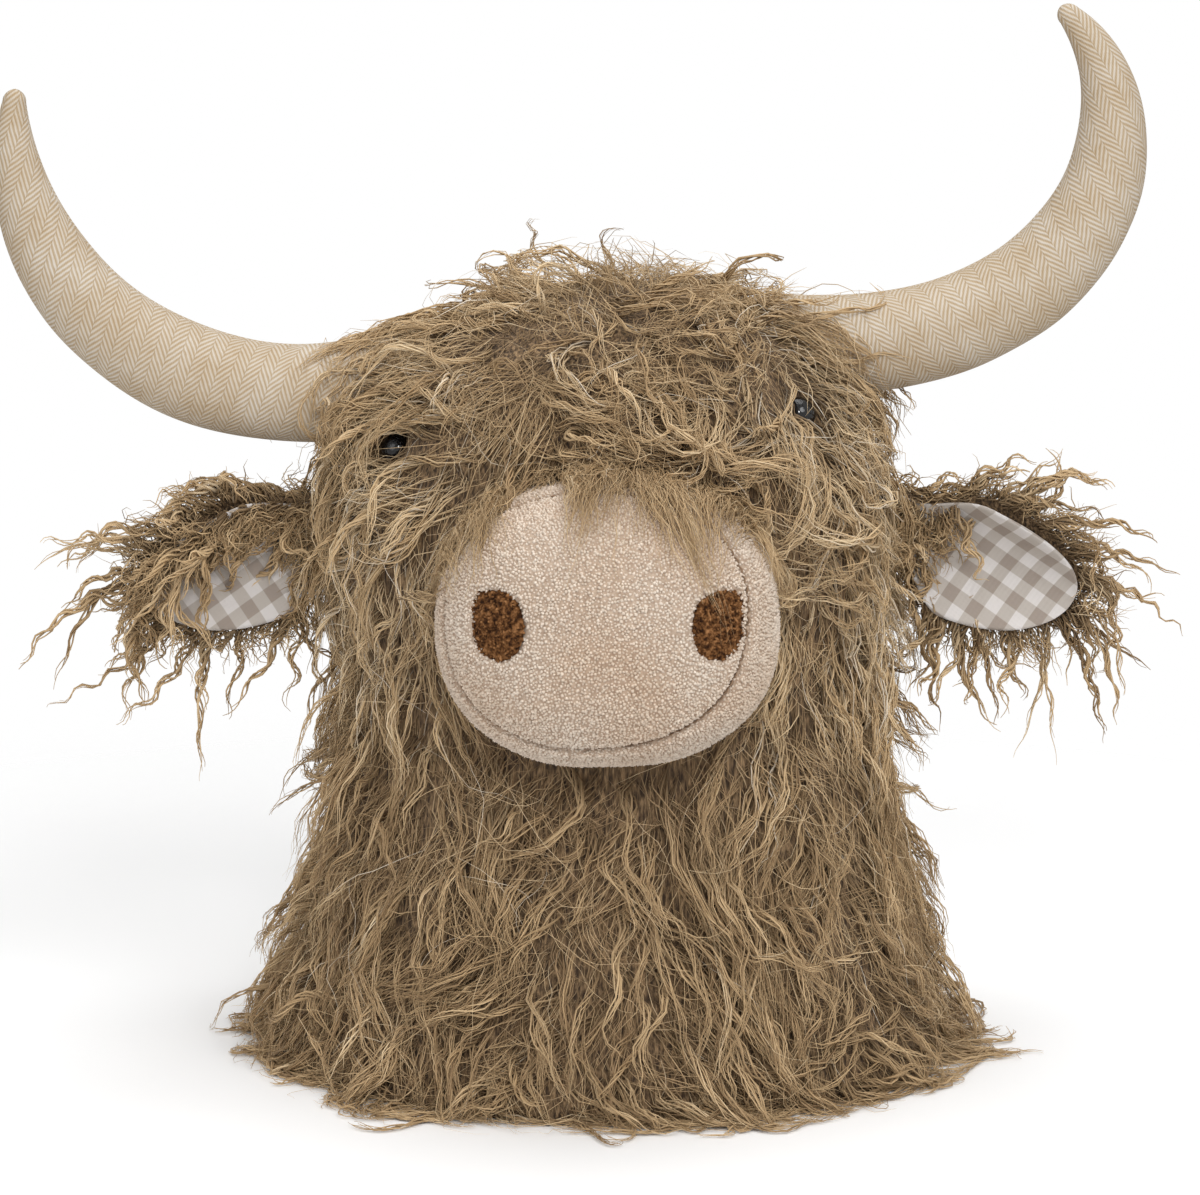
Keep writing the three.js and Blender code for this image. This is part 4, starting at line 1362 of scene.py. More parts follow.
def muzzle_points(around, reach, inset):
    """Places on the muzzle in its own frame; reach runs from 0 at the nose to 1 at its widest and beyond."""
    bend = 2 / MUZZLE_ROUNDNESS
    dome = np.minimum(reach, 1) * QUARTER
    flat = signed_power(np.sin(dome), bend)
    x = (MUZZLE_HALF[0] - inset) * flat * signed_power(np.cos(around), bend)
    z = (MUZZLE_HALF[2] - inset) * flat * signed_power(np.sin(around), bend)
    y = -(MUZZLE_HALF[1] - inset) * np.abs(np.cos(dome)) ** bend + np.maximum(reach - 1, 0) * MUZZLE_BACK
    return np.stack([x, np.where(reach < 1, y, np.maximum(y, 0)), z], -1)


def seam_reach(around):
    """How far from the nose the seam lies, all round the muzzle."""
    near = np.zeros_like(around)
    far = np.ones_like(around)
    for _ in range(SEAM_HALVINGS):
        middle = (near + far) / 2
        point = muzzle_points(around, middle, 0.0)
        lean = math.tan(SEAM_TILT) * point[..., 2] - math.tan(SEAM_TURN) * point[..., 0]
        ahead = point[..., 1] < lean - SEAM_DEPTH
        near = np.where(ahead, middle, near)
        far = np.where(ahead, far, middle)
    return near


def add_hanging(name, coat, lines, bunches):
    """Hair from behind the muzzle's upper edge that hangs down over its front in pointed bunches."""
    random = np.random.default_rng(FUR_SEED + lines)
    single = [kind for kind in bunches for _ in range(kind.number)]
    left, right, _, farthest, aside, shortest = np.array(single).T
    bunch = np.repeat(np.arange(len(single)), lines)
    count = len(bunch)
    middle = random.uniform(left, right)
    tip = middle + aside + random.normal(0, FORELOCK_DRIFT, len(single))
    down = between(FORELOCK_LEAST, farthest, random.random(len(single)) ** FORELOCK_BIAS)
    along = np.linspace(0, 1, coat.points)[None, :]
    first = (middle[bunch] + random.normal(0, FORELOCK_SPREAD[0], count))[:, None]
    last = (tip[bunch] + random.normal(0, FORELOCK_SPREAD[1], count))[:, None]
    x = between(first, last, along**FORELOCK_SWERVE)
    end = down[bunch] * random.uniform(shortest[bunch], 1.0)
    turn = between(FORELOCK_START, end[:, None], along)
    bend = 2 / MUZZLE_ROUNDNESS
    rest = 1 - np.abs(x / MUZZLE_HALF[0]) ** MUZZLE_ROUNDNESS
    rest = np.maximum(rest, FORELOCK_NARROWEST) ** (1 / MUZZLE_ROUNDNESS)
    lift = coat.lift[0] + (coat.lift[1] - coat.lift[0]) * random.random((count, 1)) * along
    y = -(MUZZLE_HALF[1] * rest + lift) * signed_power(np.sin(turn), bend)
    z = (MUZZLE_HALF[2] * rest + lift) * signed_power(np.cos(np.maximum(turn, 0)), bend)
    paths = crimped(moved(np.stack([x, y, z], -1), MUZZLE_PLACE), coat, random)
    tone = np.clip(random.normal(*FORELOCK_TONE, count), 0, 1)
    add_hair(name, coat, paths, tone, random.uniform(*HAIR_SIZES, count))


def nostril_power(corner):
    """How square a nostril's outline is: more so at its upper outer corner."""
    return np.where(corner, NOSTRIL_CORNER, NOSTRIL_ROUNDNESS)


def nostril_distance(points):
    """How far places on the muzzle lie from the nearest nostril's middle; its edge is at 1."""
    found = []
    for sign in SIDES.values():
        across = np.abs(points[..., 0] - sign * NOSTRIL_SPACING / 2) / (NOSTRIL_SIZE[0] / 2)
        up = np.abs(points[..., 2] - NOSTRIL_RISE) / (NOSTRIL_SIZE[1] / 2)
        power = nostril_power((sign * points[..., 0] > NOSTRIL_SPACING / 2) & (points[..., 2] > NOSTRIL_RISE))
        found.append((across**power + up**power) ** (1 / power))
    return np.where(points[..., 1] < -SEAM_DEPTH / 2, np.minimum(*found), NO_NOSTRIL)


def add_pile(name, face, mask, tuft, finish, slot):
    """Short pile on a face that closes round, where its mask is set."""
    bare = bpy.data.meshes.new(name + "_face")
    bare.from_pydata(face.reshape(-1, 3).tolist(), [], grid_faces(*face.shape[:2], wrap=True))
    bare.attributes.new("pile", "FLOAT", "POINT").data.foreach_set("value", mask.ravel().astype(np.float32))
    carried(TUFTS.run(name + "_pile", bare, tuft, Seed=FUR_SEED, Material=finish), "body", slot)


def muzzle_panel(name, node, start, stop, spread, ground, pile):
    """A towelling panel between two distances from the nose, rolled into the seam, with its pile."""
    rows, columns = MUZZLE_GRID
    around = round_turn(columns)[None, :]
    share = spread(np.linspace(0, 1, rows)[:, None])
    first, last = start(around), stop(around)
    reach = between(first, last, share)
    around = np.broadcast_to(around, reach.shape)
    plain = muzzle_points(around, reach, 0.0)
    from_seam = np.abs(reach - seam_reach(around)) * MUZZLE_HALF[1] * QUARTER
    drop = SEAM_DROP * np.exp(-((from_seam / SEAM_ROLL) ** 2))
    distance = nostril_distance(plain)
    drop = drop + NOSTRIL_SINK * (1 - rising(distance, *NOSTRIL_DIP))
    drop = drop - MUZZLE_LUMPS * waves(plain, "muzzle") * smooth(from_seam / SEAM_ROLL - 1)
    outer = moved(muzzle_points(around, reach, drop), MUZZLE_PLACE)
    depth = np.maximum(MUZZLE_CLOTH, drop + MUZZLE_CLOTH / 2)
    inner = moved(muzzle_points(around, reach, depth), MUZZLE_PLACE)
    rims = (0, rows - 1) if first.any() else (rows - 1,)
    dressed(shell(name, outer, inner, wrap=True, rims=rims), ground, "body", "towelling", node)
    mask = (distance > 1.0) & (plain[..., 1] < MUZZLE_PILE_BACK) & (from_seam > SEAM_BARE)
    add_pile(name, outer, mask, TERRY, pile, "towelling")


def nostril(side, finish):
    """A brown patch let into the muzzle, slightly crowned, with short pile."""
    rows, columns = NOSTRIL_GRID
    around = round_turn(columns)[None, :]
    share = np.linspace(0, 1, rows)[:, None]
    bend = 2 / nostril_power((SIDES[side] * np.cos(around) > 0) & (np.sin(around) > 0))
    x = SIDES[side] * NOSTRIL_SPACING / 2 + NOSTRIL_SIZE[0] / 2 * share * signed_power(np.cos(around), bend)
    z = NOSTRIL_RISE + NOSTRIL_SIZE[1] / 2 * share * signed_power(np.sin(around), bend)
    power = MUZZLE_ROUNDNESS
    rest = 1 - np.abs(x / MUZZLE_HALF[0]) ** power - np.abs(z / MUZZLE_HALF[2]) ** power
    surface = -MUZZLE_HALF[1] * rest ** (1 / power)
    crown = NOSTRIL_REST * (NOSTRIL_CROWN + share**NOSTRIL_CROWN_POWER)
    front = moved(np.stack([x, surface + crown, z], -1), MUZZLE_PLACE)
    back = moved(np.stack([x, surface + NOSTRIL_SINK, z], -1), MUZZLE_PLACE)
    made = shell(f"nostril_{side}_patch", front, back, wrap=True, rims=(rows - 1,))
    dressed(made, finish, "body", "fleece", f"nostril_{side}")
    add_pile(f"nostril_{side}", front, np.ones(front.shape[:2]), FLEECE, finish, "fleece")


def muzzle_stitches():
    """The thread that shows all along the muzzle's seam, darker than the towelling as painted shade in the
    seam's groove.
    """
    around = round_turn(SEAM_STITCHES)
    sunk = SEAM_DROP - STITCH.rise
    places = muzzle_points(around, seam_reach(around), sunk)
    ahead = muzzle_points(around + SEAM_STEP, seam_reach(around + SEAM_STEP), sunk)
    lines = stitch_lines(places, unit(ahead - places), unit(places), SEAM_STITCH)
    # Thread coloured dark as painted shade in the seam's groove
    thread = flecked("muzzle_thread", 800.0, 2.0, ((0.3, (112, 88, 66)), (0.7, (146, 118, 92))), 0.85)
    add_stitches("muzzle_stitches", moved(lines, MUZZLE_PLACE), thread, "body", "towelling")


def towelling_material(name, *stops):
    """Towelling with a fine grain, and paler and darker clouds in it."""

    def build(net):
        place = net.place()
        grain = net.shades(net.noise(place, 620.0, 3.0), *stops)
        worn = net.shades(net.noise(place, 24.0), (0.3, (246, 238, 230)), (0.7, (255, 255, 255)))
        return {
            "Base Color": net.mix(1.0, grain, worn, "MULTIPLY"),
            "Roughness": 0.95,
            "Specular IOR Level": 0.15,
        }

    return material(name, build)


def add_muzzle():
    ground = towelling_material("towelling_ground", (0.3, (158, 139, 122)), (0.7, (190, 172, 155)))
    pile = towelling_material(
        "towelling_pile", (0.25, (188, 173, 158)), (0.5, (214, 201, 187)), (0.8, (236, 226, 214))
    )
    fleece = flecked(
        "brown_fleece", 520.0, 3.0, ((0.36, (46, 25, 10)), (0.52, (104, 68, 38)), (0.68, (156, 112, 72))),
        0.95, 0.15,
    )
    panels = (
        ("muzzle_front", "muzzle_front_panel", np.zeros_like, seam_reach,
         lambda t: 1 - (1 - t) ** SEAM_CROWDING),
        ("muzzle_side", "muzzle_gusset", seam_reach, lambda around: np.full_like(around, MUZZLE_REACH),
         lambda t: t**SEAM_CROWDING),
    )
    for panel in panels:
        muzzle_panel(*panel, ground, pile)
    muzzle_stitches()
    for name, kind in HANGING.items():
        add_hanging(name, *kind)
    for side in SIDES:
        nostril(side, fleece)


# Horns


def horn_rows(side):
    """Sections along a horn in its own plane: middles, headings and radii, with a ball at each end."""
    start, bend, power = HORN_CURVES[side]
    step = HORN_LENGTH / HORN_STEPS
    mid = np.radians(start + bend * ((np.arange(HORN_STEPS) + 0.5) / HORN_STEPS) ** power)
    s = np.arange(HORN_STEPS + 1) / HORN_STEPS
    heading = np.radians(start + bend * s**power)
    radius = between(HORN_TIP_RADIUS, HORN_ROOT_RADIUS, 1 - s**HORN_TAPER)
    tip = np.linspace(0, QUARTER, HORN_TIP_ROWS)[1:]
    root = np.linspace(-QUARTER, 0, HORN_ROOT_ROWS)[1:-1]
    middle = []
    for way in (np.cos, np.sin):
        line = np.concatenate([[0], np.cumsum(way(mid) * step)])
        first = way(heading[0]) * HORN_ROOT_RADIUS * np.sin(root)
        last = line[-1] + way(heading[-1]) * HORN_TIP_RADIUS * np.sin(tip)
        middle.append(np.concatenate([first, line, last]))
    heading = np.concatenate([np.full(len(root), heading[0]), heading, np.full(len(tip), heading[-1])])
    radius = np.concatenate([HORN_ROOT_RADIUS * np.cos(root), radius, HORN_TIP_RADIUS * np.cos(tip)])
    return np.stack(middle, 1), heading, np.maximum(radius, HORN_LEAST_RADIUS)


def horn_panel(side, face, turn, finish):
    """Half of a horn's cover: turn is the angle of its middle, from up to back, in radians."""
    middle, heading, radius = horn_rows(side)
    radius = radius[:, None]
    swing = np.linspace(-QUARTER, QUARTER, HORN_COLUMNS)[None, :]
    swing = swing * (1 - HORN_SEAM_GAP / radius).clip(HORN_SEAM_LEAST, 1)
    angle = turn + swing
    from_seam = (QUARTER - np.abs(swing)) * radius
    up = np.stack([-np.sin(heading), np.cos(heading)], 1)

    def risen(height):
        return middle[:, None, :] + up[:, None, :] * height[..., None]

    def points(size):
        flat = risen(size * np.cos(angle))
        return np.stack([SIDES[side] * flat[..., 0], size * np.sin(angle), flat[..., 1]], -1)

    groove = HORN_SEAM * np.exp(-((from_seam / HORN_SEAM_ROLL) ** 2))
    lumps = HORN_LUMPS * waves(points(radius * np.ones_like(swing)), "horn")
    lumps = lumps * np.minimum(1, radius / HORN_ROOT_RADIUS)
    outer = points(np.maximum(radius - groove + lumps, HORN_LEAST_RADIUS))
    inner = points(np.maximum(radius - HORN_CLOTH - HORN_SEAM / 2, HORN_LEAST_RADIUS / 2))
    chart = risen(radius * np.sign(-math.sin(turn)) * swing)
    place = tilted_place(f"horn_{side}")
    made = shell(f"horn_{side}_{face}", moved(outer, place), moved(inner, place), chart=chart)
    dressed(made, finish, f"horn_{side}", "herringbone", f"horn_{side}_{face}_panel")
    half_area(made)


def herringbone_material():
    """Cream and tan twill whose slant turns over from one column to the next."""

    def build(net):
        cloth = HERRINGBONE
        x, z = net.cloth_map("cloth")
        along = x * math.cos(HORN_GRAIN) + z * math.sin(HORN_GRAIN)
        across = z * math.cos(HORN_GRAIN) - x * math.sin(HORN_GRAIN)
        column = across / cloth.column
        odd = (column.math("FLOOR") / 2.0).math("FRACT") * 2.0
        inside = column.math("FRACT")
        climb = (inside - 0.5) * (1 - 2 * odd) * cloth.column
        wobble = net.noise(net.place(), 260.0) - 0.5
        phase = (along * math.sin(cloth.slant) + climb * math.cos(cloth.slant)) / cloth.pitch
        stroke = net.wave(phase + odd * 0.5 + wobble * cloth.wobble)
        weft = net.wave(across / cloth.thread)
        edge = ((inside - 0.5).math("ABSOLUTE") * 2.0) ** cloth.edge_power
        level = 0.5 + stroke * cloth.stroke + weft * cloth.weft - edge * cloth.edge + wobble * cloth.blotch
        colour = net.shades(level, (0.08, (164, 142, 112)), (0.45, (184, 169, 148)), (0.8, (199, 191, 180)))
        slub = net.noise(net.place(), 60.0, 3.0)
        tint = net.shades(slub, (0.3, (240, 233, 222)), (0.7, (255, 255, 255)))
        return {
            "Base Color": net.mix(1.0, colour, tint, "MULTIPLY"),
            "Roughness": 0.9,
            "Specular IOR Level": 0.2,
            "Normal": net.bump(level, 0.25 * MM),
        }

    return material("herringbone_cloth", build)


def add_horns():
    cloth = herringbone_material()
    for side in SIDES:
        horn_panel(side, "front", -QUARTER, cloth)
        horn_panel(side, "back", QUARTER, cloth)


# Ears


def ear_place(side):
    turn = Matrix.Rotation(SIDES[side] * EAR_DROOP, 4, "Y") @ Matrix.Rotation(EAR_ROLL, 4, "X")
    return Matrix.Translation(JOINTS[f"ear_{side}"]["pos_m"]) @ turn


def on_ear(side, along, front, across):
    """Places in an ear's own frame, taken to where the ear is."""
    return moved(np.stack([SIDES[side] * along, front, across], -1), ear_place(side))


def ear_half_width(s):
    near = between(EAR_ROOT_HALF_WIDTH, EAR_HALF_WIDTH, rising(s, EAR_WIDENS, EAR_WIDEST - EAR_WIDENS))
    past = np.clip((s - EAR_WIDEST) / (1 - EAR_WIDEST), 0, 1)
    return np.where(s < EAR_WIDEST, near, EAR_HALF_WIDTH * np.sqrt(1 - past**2))


def ear_front(along, across):
    cup = EAR_CUP * np.sin(QUARTER * np.minimum(1, along / (EAR_WIDEST * EAR_LENGTH)))
    return -EAR_THICKNESS / 2 - cup * (across / EAR_HALF_WIDTH) ** 2


def ear_fold(s, t):
    """How far the lining's upper edge is turned forwards."""
    turned = EAR_FOLD * rising(t, *EAR_FOLD_ACROSS) ** EAR_FOLD_BEND
    return turned * rising(s, *EAR_FOLD_ALONG) * (1 - s**EAR_FOLD_END)


def ear_lining(side, finish):
    """The checked face of an ear, its upper edge turned forwards."""
    rows, columns = EAR_GRID
    s = 1 - (1 - np.linspace(0, 1, rows)[:, None]) ** EAR_TIP_CROWDING
    t = np.linspace(-1, 1, columns)[None, :]
    along = EAR_LINING_MARGIN + (EAR_LENGTH - 2 * EAR_LINING_MARGIN) * s + 0 * t
    across = (1 - EAR_LINING_MARGIN / EAR_HALF_WIDTH) * ear_half_width(s) * t
    fold = ear_fold(s, t)
    crease = EAR_CREASE * waves(np.stack([along, across, 0 * along], -1), "crease")
    crease = crease * rising(s, *EAR_CREASE_ALONG)
    face = ear_front(along, across) - EAR_LINING_GAP - fold - np.maximum(crease, 0)
    lowered = across - EAR_FOLD_LOWERS * fold
    front = on_ear(side, along, face - EAR_LINING, lowered)
    back = on_ear(side, along, face, lowered)
    made = shell(f"ear_{side}_face", front, back, chart=np.stack([along, across], -1))
    dressed(made, finish, f"ear_{side}", "gingham", f"ear_{side}_lining")
    half_area(made)


def gingham_material():
    """Pale cloth with darker bands both ways, darkest where they cross."""

    def build(net):
        x, z = net.cloth_map("cloth")
        bands, threads = [], []
        for turn in (GINGHAM.turn, GINGHAM.turn + QUARTER):
            across = x * math.cos(turn) + z * math.sin(turn)
            band = net.wave(across / (2 * GINGHAM.check)) * GINGHAM.sharpness + 0.5
            bands.append(band.math("MAXIMUM", 0.0).math("MINIMUM", 1.0))
            threads.append(net.wave(across, GINGHAM.thread))
        weave = threads[0] * threads[1]
        level = (bands[0] + bands[1]) * 0.5 + weave * GINGHAM.weave
        blotch = (net.noise(net.place(), 90.0) - 0.5) * GINGHAM.blotch
        return {
            "Base Color": net.shades(
                level + blotch, (0.0, (220, 215, 212)), (0.5, (190, 182, 174)), (1.0, (162, 150, 140))
            ),
            "Roughness": 0.9,
            "Specular IOR Level": 0.2,
            "Normal": net.bump(weave, 0.1 * MM),
        }

    return material("gingham_cloth", build)


def ear_cover(side, spacing, random):
    """Places in front of an ear's inner part and its upper edge, for hair that lies over its lining."""
    size = EAR_LENGTH * EAR_HALF_WIDTH / spacing**2
    inner = int(EAR_COVER_CROWD * EAR_COVER * size)
    upper = int(EAR_DRAPE[side] * (1 - EAR_DRAPE_EDGE) * size)
    s = [EAR_COVER * random.random(inner) ** EAR_COVER_BIAS, random.uniform(EAR_WIDENS, EAR_DRAPE_END, upper)]
    t = [random.uniform(*EAR_COVER_ACROSS, inner), random.uniform(EAR_DRAPE_EDGE, 1.0, upper)]
    s, t = np.concatenate(s), np.concatenate(t)
    along = EAR_LENGTH * s
    across = ear_half_width(s) * t
    front = ear_front(along, across) - EAR_LINING_GAP - EAR_LINING - ear_fold(s, t) - EAR_CREASE
    return on_ear(side, along, front, across)


def ear_rim(side, spacing, random):
    """Places along the front edge of an ear, from where it widens on, all round its tip."""
    s = np.linspace(EAR_WIDENS, 1, EAR_RIM_STEPS)
    width = np.maximum(ear_half_width(s) - EAR_RIM_INSET, 0)
    upper = np.stack([s * EAR_LENGTH, width], 1)
    outline = np.concatenate([upper, (upper * (1, -1))[::-1]])
    whole = run_length(outline)[-1]
    along, across = on_line(outline, np.sort(random.uniform(0, whole, int(whole / spacing)))).T
    return on_ear(side, along, ear_front(along, across), across)


def ear_hair(name, coat, side):
    """One coat on the back and the rim of an ear: it fans out from the ear's root and droops."""
    sign = SIDES[side]
    random = np.random.default_rng(FUR_SEED + EAR_SEED + sign)
    place = ear_place(side)
    axes = np.array(place.to_3x3()).T
    corners = corners_of(f"ear_{side}_fur_panel")
    behind = (unit(spans(corners)) @ axes[1]) > EAR_BACK_FACING
    roots = np.concatenate([
        scattered(corners[behind], coat.spacing, random),
        ear_rim(side, coat.spacing * EAR_RIM_SPACING, random),
        ear_cover(side, coat.spacing, random),
    ])
    count = len(roots)
    local = (roots - np.array(place.translation)) @ axes.T
    across = local[:, 2]
    along = np.clip(sign * local[:, 0] / EAR_LENGTH, 0, 1)
    width = np.maximum(ear_half_width(along), EAR_NARROWEST)
    edge = np.clip(np.maximum(np.abs(across) / width, along**EAR_EDGE_POWER), 0, 1)[:, None]
    fan = [sign * (EAR_FAN_OUT + along), np.zeros(count), EAR_FAN_UP * across / EAR_HALF_WIDTH]
    outward = unit(np.stack(fan, 1)) * edge + BACK * (EAR_STAND - edge)
    behind = local[:, 1] > ear_front(along * EAR_LENGTH, across) - EAR_OVER_SLACK
    outward = np.where(behind[:, None], outward, EAR_OVER * (sign, 1, 1))
    way = unit(unit(outward) @ axes + random.normal(0, EAR_STRAY, (count, 3)))
    length = random.uniform(*coat.length, count) * between(EAR_ROOT_LENGTH, 1, along)
    step = (length / (coat.points - 1))[:, None]
    bend = random.normal(0, math.radians(coat.curl) / coat.points, (count, 3))
    path = [roots]
    for _ in range(coat.points - 1):
        path.append(path[-1] + way * step)
        way = unit(way + np.cross(bend, way) + EAR_DROP * step / MM * DOWN)
    paths = crimped(np.stack(path, 1), coat, random)
    reach = paths[..., 0].max(1) - roots[:, 0]
    share = np.clip((EAR_LIMIT - roots[:, 0]) / np.maximum(reach, EAR_LEAST_REACH), 0, 1)
    share = np.where(reach > 0, share, 1)
    paths = between(roots[:, None], paths, share[:, None, None])
    tone = np.clip(random.normal(*EAR_TONE, count), 0, 1)
    add_hair(f"ear_{side}_{name}", coat, paths, tone, random.uniform(*EAR_SIZES, count), f"ear_{side}")


def add_ears():
    gingham = gingham_material()
    for side in SIDES:
        back = subdivided(copy_of(f"ear_{side}_back", f"ear_{side}_fur_panel"), 2)
        # The ear's back has the backing cloth's dark colour, painted shade under its hair
        dressed(back, BACKING_AND_SHADE, f"ear_{side}", "fur", f"ear_{side}_fur_panel")
        ear_lining(side, gingham)
        ear_hair("locks", EAR_LOCKS, side)
        ear_hair("fuzz", EAR_FUZZ, side)


# Eyes, stuffing, back and loop


def add_eyes():
    gloss = material("black_gloss", lambda net: {
        "Base Color": srgb(7, 7, 9),
        "Roughness": net.noise(net.place(), 400.0) * 0.06 + 0.03,
        "Specular IOR Level": 0.3,
        "Coat Weight": 0.3,
        "Coat Roughness": 0.02,
    })
    plastic = material("washer_plastic", lambda net: {
        "Base Color": srgb(226, 226, 222),
        "Roughness": net.noise(net.place(), 300.0) * 0.2 + 0.4,
    })
    for side in SIDES:
        bead = subdivided(copy_of(f"eye_{side}_bead", f"eye_{side}"), 2)
        dressed(bead, gloss, "body", "eye_black", f"eye_{side}")
        painted(frame["nodes"][f"eye_washer_{side}"], plastic)


def add_stuffing():
    fibre = flecked(
        "white_fibre", 140.0, 4.0, ((0.3, (222, 218, 208)), (0.7, (246, 244, 238))), 0.95,
        bump=1.0 * MM, bump_scale=220.0,
    )
    for part in ("head", "neck", "muzzle", "horn_left", "horn_right"):
        made = subdivided(copy_of(f"{part}_stuffing", f"{part}_filling"), 1)
        dressed(made, fibre, part if part in JOINTS else "body", "filling", f"{part}_filling")


def rim_stitches(node, facing, flat_axes):
    """Stitch lines just inside the outline of a flat cover, seen along its facing."""
    corners = corners_of(node).reshape(-1, 3)
    level = (corners @ facing).max()
    face = corners[(corners @ facing) > level - FACE_SLACK][:, flat_axes]
    middle = (face.min(0) + face.max(0)) / 2
    hull = convex_outline(face - middle)
    hull = hull * (1 - STITCH.inset / np.linalg.norm(hull, axis=1, keepdims=True))
    closed = np.concatenate([hull, hull[:1]])
    whole = run_length(closed)[-1]
    count = int(whole / STITCH.spacing)
    at = (np.arange(count) + 0.5) * whole / count
    flat = on_line(closed, at)
    places = np.zeros((count, 3)) + facing * level
    ways = np.zeros((count, 3))
    places[:, flat_axes] = flat + middle
    ways[:, flat_axes] = on_line(closed, (at + 1 * MM) % whole) - flat
    return stitch_lines(places, unit(ways), np.tile(facing, (count, 1)), STITCH.length)


def convex_outline(points):
    """The convex outline of flat points, in order."""
    ordered = sorted(set(map(tuple, np.round(points, 6))))

    def turn_of(a, b, c):
        return (b[0] - a[0]) * (c[1] - a[1]) - (b[1] - a[1]) * (c[0] - a[0])

    def half(items):
        chain = []
        for item in items:
            while len(chain) > 1 and turn_of(chain[-2], chain[-1], item) <= 0:
                chain.pop()
            chain.append(item)
        return chain[:-1]

    return np.array(half(ordered) + half(ordered[::-1]))


def add_covers(thread):
    felt = flecked(
        "brown_felt", 900.0, 6.0, ((0.34, (112, 92, 69)), (0.5, (134, 112, 86)), (0.66, (162, 139, 109))),
        0.96, 0.15, bump=0.5 * MM,
    )
    board = flecked("pressed_board", 120.0, 4.0, ((0.3, (156, 126, 88)), (0.7, (184, 152, 110))), 0.9)
    painted(frame["nodes"]["back_board"], board)
    for name, flat_axes, rests_on in (("back", [0, 2], "back_board"), ("base", [0, 1], "neck_stuffing")):
        made = dressed(copy_of(f"{name}_felt", f"{name}_cover"), felt, "body", "felt", f"{name}_cover")
        low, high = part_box(f"{name}_cover")
        size = [high[axis] - low[axis] for axis in flat_axes]
        sewn = []
        if name == "back":
            lines = rim_stitches("back_cover", BACK, flat_axes)
            sewn = [add_stitches("back_stitches", lines, thread, "body", "felt")]
        area = min(half_area(made), size[0] * size[1])


def loop_line():
    """The middle of the folded tape from its side: up the back, round the eye's top, down the front."""
    half = (LOOP_EYE_WIDTH + LOOP_TAPE) / 2
    stem = LOOP_TAPE / 2 + LOOP_LAYER_GAP
    top = LOOP_STEM + LOOP_EYE_HEIGHT - LOOP_EYE_WIDTH / 2
    leg_z = -LOOP_TAPE / 2 + np.linspace(0, 1, LOOP_LEG_STEPS) * (top + LOOP_TAPE / 2)
    leg_y = between(stem, half, rising(leg_z, LOOP_STEM / 2, LOOP_OPENING * top))
    turn = np.linspace(0, math.pi, LOOP_TOP_STEPS)[1:-1]
    y = np.concatenate([leg_y, half * np.cos(turn), -leg_y[::-1]])
    z = np.concatenate([leg_z, top + half * np.sin(turn), leg_z[::-1]])
    return np.stack([y, z], 1)


def tape_material():
    def build(net):
        x, y = net.cloth_map("cloth")
        level = net.wave(x, TAPE_THREAD) * net.wave(y, TAPE_THREAD) * 0.5 + 0.5
        return {
            "Base Color": net.shades(level, (0.1, (138, 112, 78)), (0.9, (206, 180, 140))),
            "Roughness": 0.85,
            "Normal": net.bump(level, 0.3 * MM),
        }

    return material("cotton_tape", build)


def add_loop(thread):
    line = loop_line()
    along = np.gradient(line, axis=0)
    normal = unit(np.stack([along[:, 1], -along[:, 0]], 1))
    across = np.linspace(-0.5, 0.5, LOOP_COLUMNS) * LOOP_WIDTH
    edge = 1 - LOOP_EDGE_THINNER * rising(np.abs(across) / LOOP_WIDTH, *LOOP_EDGE)
    place = tilted_place("loop")

    def side_of(sign):
        flat = line[:, None, :] + sign * normal[:, None, :] * (LOOP_TAPE / 2 * edge)[None, :, None]
        x = np.broadcast_to(across[None, :], flat.shape[:2])
        return moved(np.stack([x, flat[..., 0], flat[..., 1]], -1), place)

    far = run_length(line)
    chart = np.stack(np.broadcast_arrays(across[None, :], far[:, None]), -1)
    made = shell("tape_loop", side_of(1), side_of(-1), chart=chart)
    dressed(made, tape_material(), "loop", "tape", "hanging_loop")
    count = LOOP_STITCHES
    x = np.linspace(-LOOP_STITCH_REACH, LOOP_STITCH_REACH, count) * LOOP_WIDTH
    lines = []
    for sign in (1, -1):
        out = np.full(count, sign * (LOOP_TAPE + LOOP_LAYER_GAP))
        spots = np.stack([x, out, np.full(count, LOOP_STEM / 3)], 1)
        ways = np.tile((1.0, 0, 0), (count, 1))
        lines.append(moved(stitch_lines(spots, ways, np.tile(sign * BACK, (count, 1)), LOOP_STITCH), place))
    stitches = add_stitches("loop_stitches", np.concatenate(lines), thread, "loop", "tape")


# Stage


def add_camera():
    data = bpy.data.cameras.new("camera")
    data.sensor_width = SENSOR_WIDTH
    data.lens = SENSOR_WIDTH * PIXELS_PER_METRE * CAMERA_DISTANCE / PHOTO_WIDTH
    camera = link(bpy.data.objects.new("camera", data))
    back = Vector((0, -math.cos(CAMERA_DOWN), math.sin(CAMERA_DOWN)))
    camera.location = CAMERA_TARGET + back * CAMERA_DISTANCE
    camera.rotation_euler = (-back).to_track_quat("-Z", "Y").to_euler()
    bpy.context.scene.camera = camera


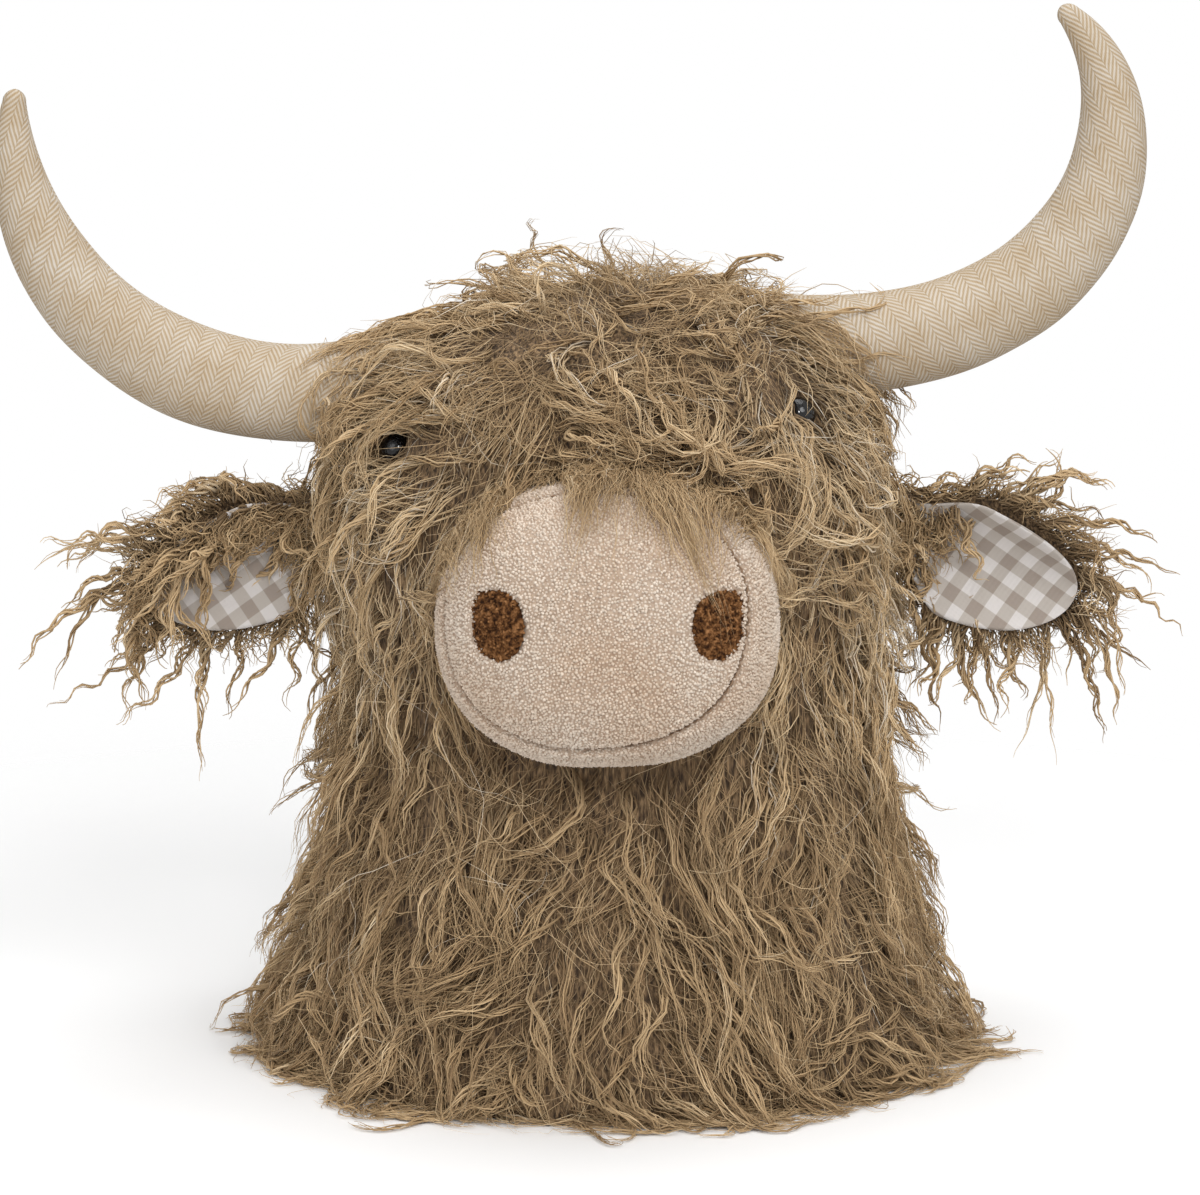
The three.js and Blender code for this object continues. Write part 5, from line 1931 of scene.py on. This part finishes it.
def add_lamp(name, kind):
    data = bpy.data.lights.new(name, "AREA")
    data.shape = "DISK"
    data.size = kind.size
    data.energy = kind.power
    lamp = link(bpy.data.objects.new(name, data))
    lamp.location = kind.place
    lamp.rotation_euler = (Vector((0, 0, kind.aim)) - lamp.location).to_track_quat("-Z", "Y").to_euler()


def add_sky():
    """Even light all round, that looks white where it is seen."""
    world = bpy.data.worlds.new("studio")
    bpy.context.scene.world = world
    world.use_nodes = True
    world.node_tree.nodes.clear()
    net = Net(world.node_tree)
    ray = net.add("ShaderNodeLightPath")
    seen = ray.math("MAXIMUM", ray.also("Is Transmission Ray")).math("MAXIMUM", ray.also("Is Glossy Ray"))
    light, white = (
        net.add("ShaderNodeBackground", {"Color": WHITE, "Strength": strength})
        for strength in (SKY_LIGHT, SKY_SEEN)
    )
    both = net.add("ShaderNodeMixShader", {0: seen, 1: light, 2: white})
    net.add("ShaderNodeOutputWorld", {"Surface": both})


def add_floor():
    """A pale floor that fades out into the white."""
    corners = [(x * FLOOR_HALF, y * FLOOR_HALF, 0) for x, y in ((-1, -1), (1, -1), (1, 1), (-1, 1))]
    floor = piece_from("floor", corners, [(0, 1, 2, 3)], smoothly=False)

    def pale(net):
        edge = net.add(
            "ShaderNodeMapRange",
            {"Value": net.vector("LENGTH", net.place()), "From Min": FLOOR_FADE[0], "From Max": FLOOR_FADE[1],
             "To Min": 1.0, "To Max": 0.0},
            interpolation_type="SMOOTHSTEP",
        )
        return {"Base Color": (FLOOR_GREY, FLOOR_GREY, FLOOR_GREY, 1), "Roughness": 0.9, "Alpha": edge}

    painted(floor, material("pale_floor", pale))
    floor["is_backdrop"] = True


bpy.context.scene.view_settings.view_transform = "Standard"
add_camera()
add_sky()
for name, kind in LAMPS.items():
    add_lamp(name, kind)
add_floor()
add_stuffing()
add_fur()
add_muzzle()
add_horns()
add_ears()
add_eyes()
brown_thread = flecked("brown_thread", 800.0, 2.0, ((0.3, (66, 50, 34)), (0.7, (94, 74, 52))), 0.8)
add_covers(brown_thread)
add_loop(brown_thread)

boxes = {"solids": SOLID_BOX, "shown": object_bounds()}
{name: [list(corner) for corner in box] for name, box in boxes.items()}
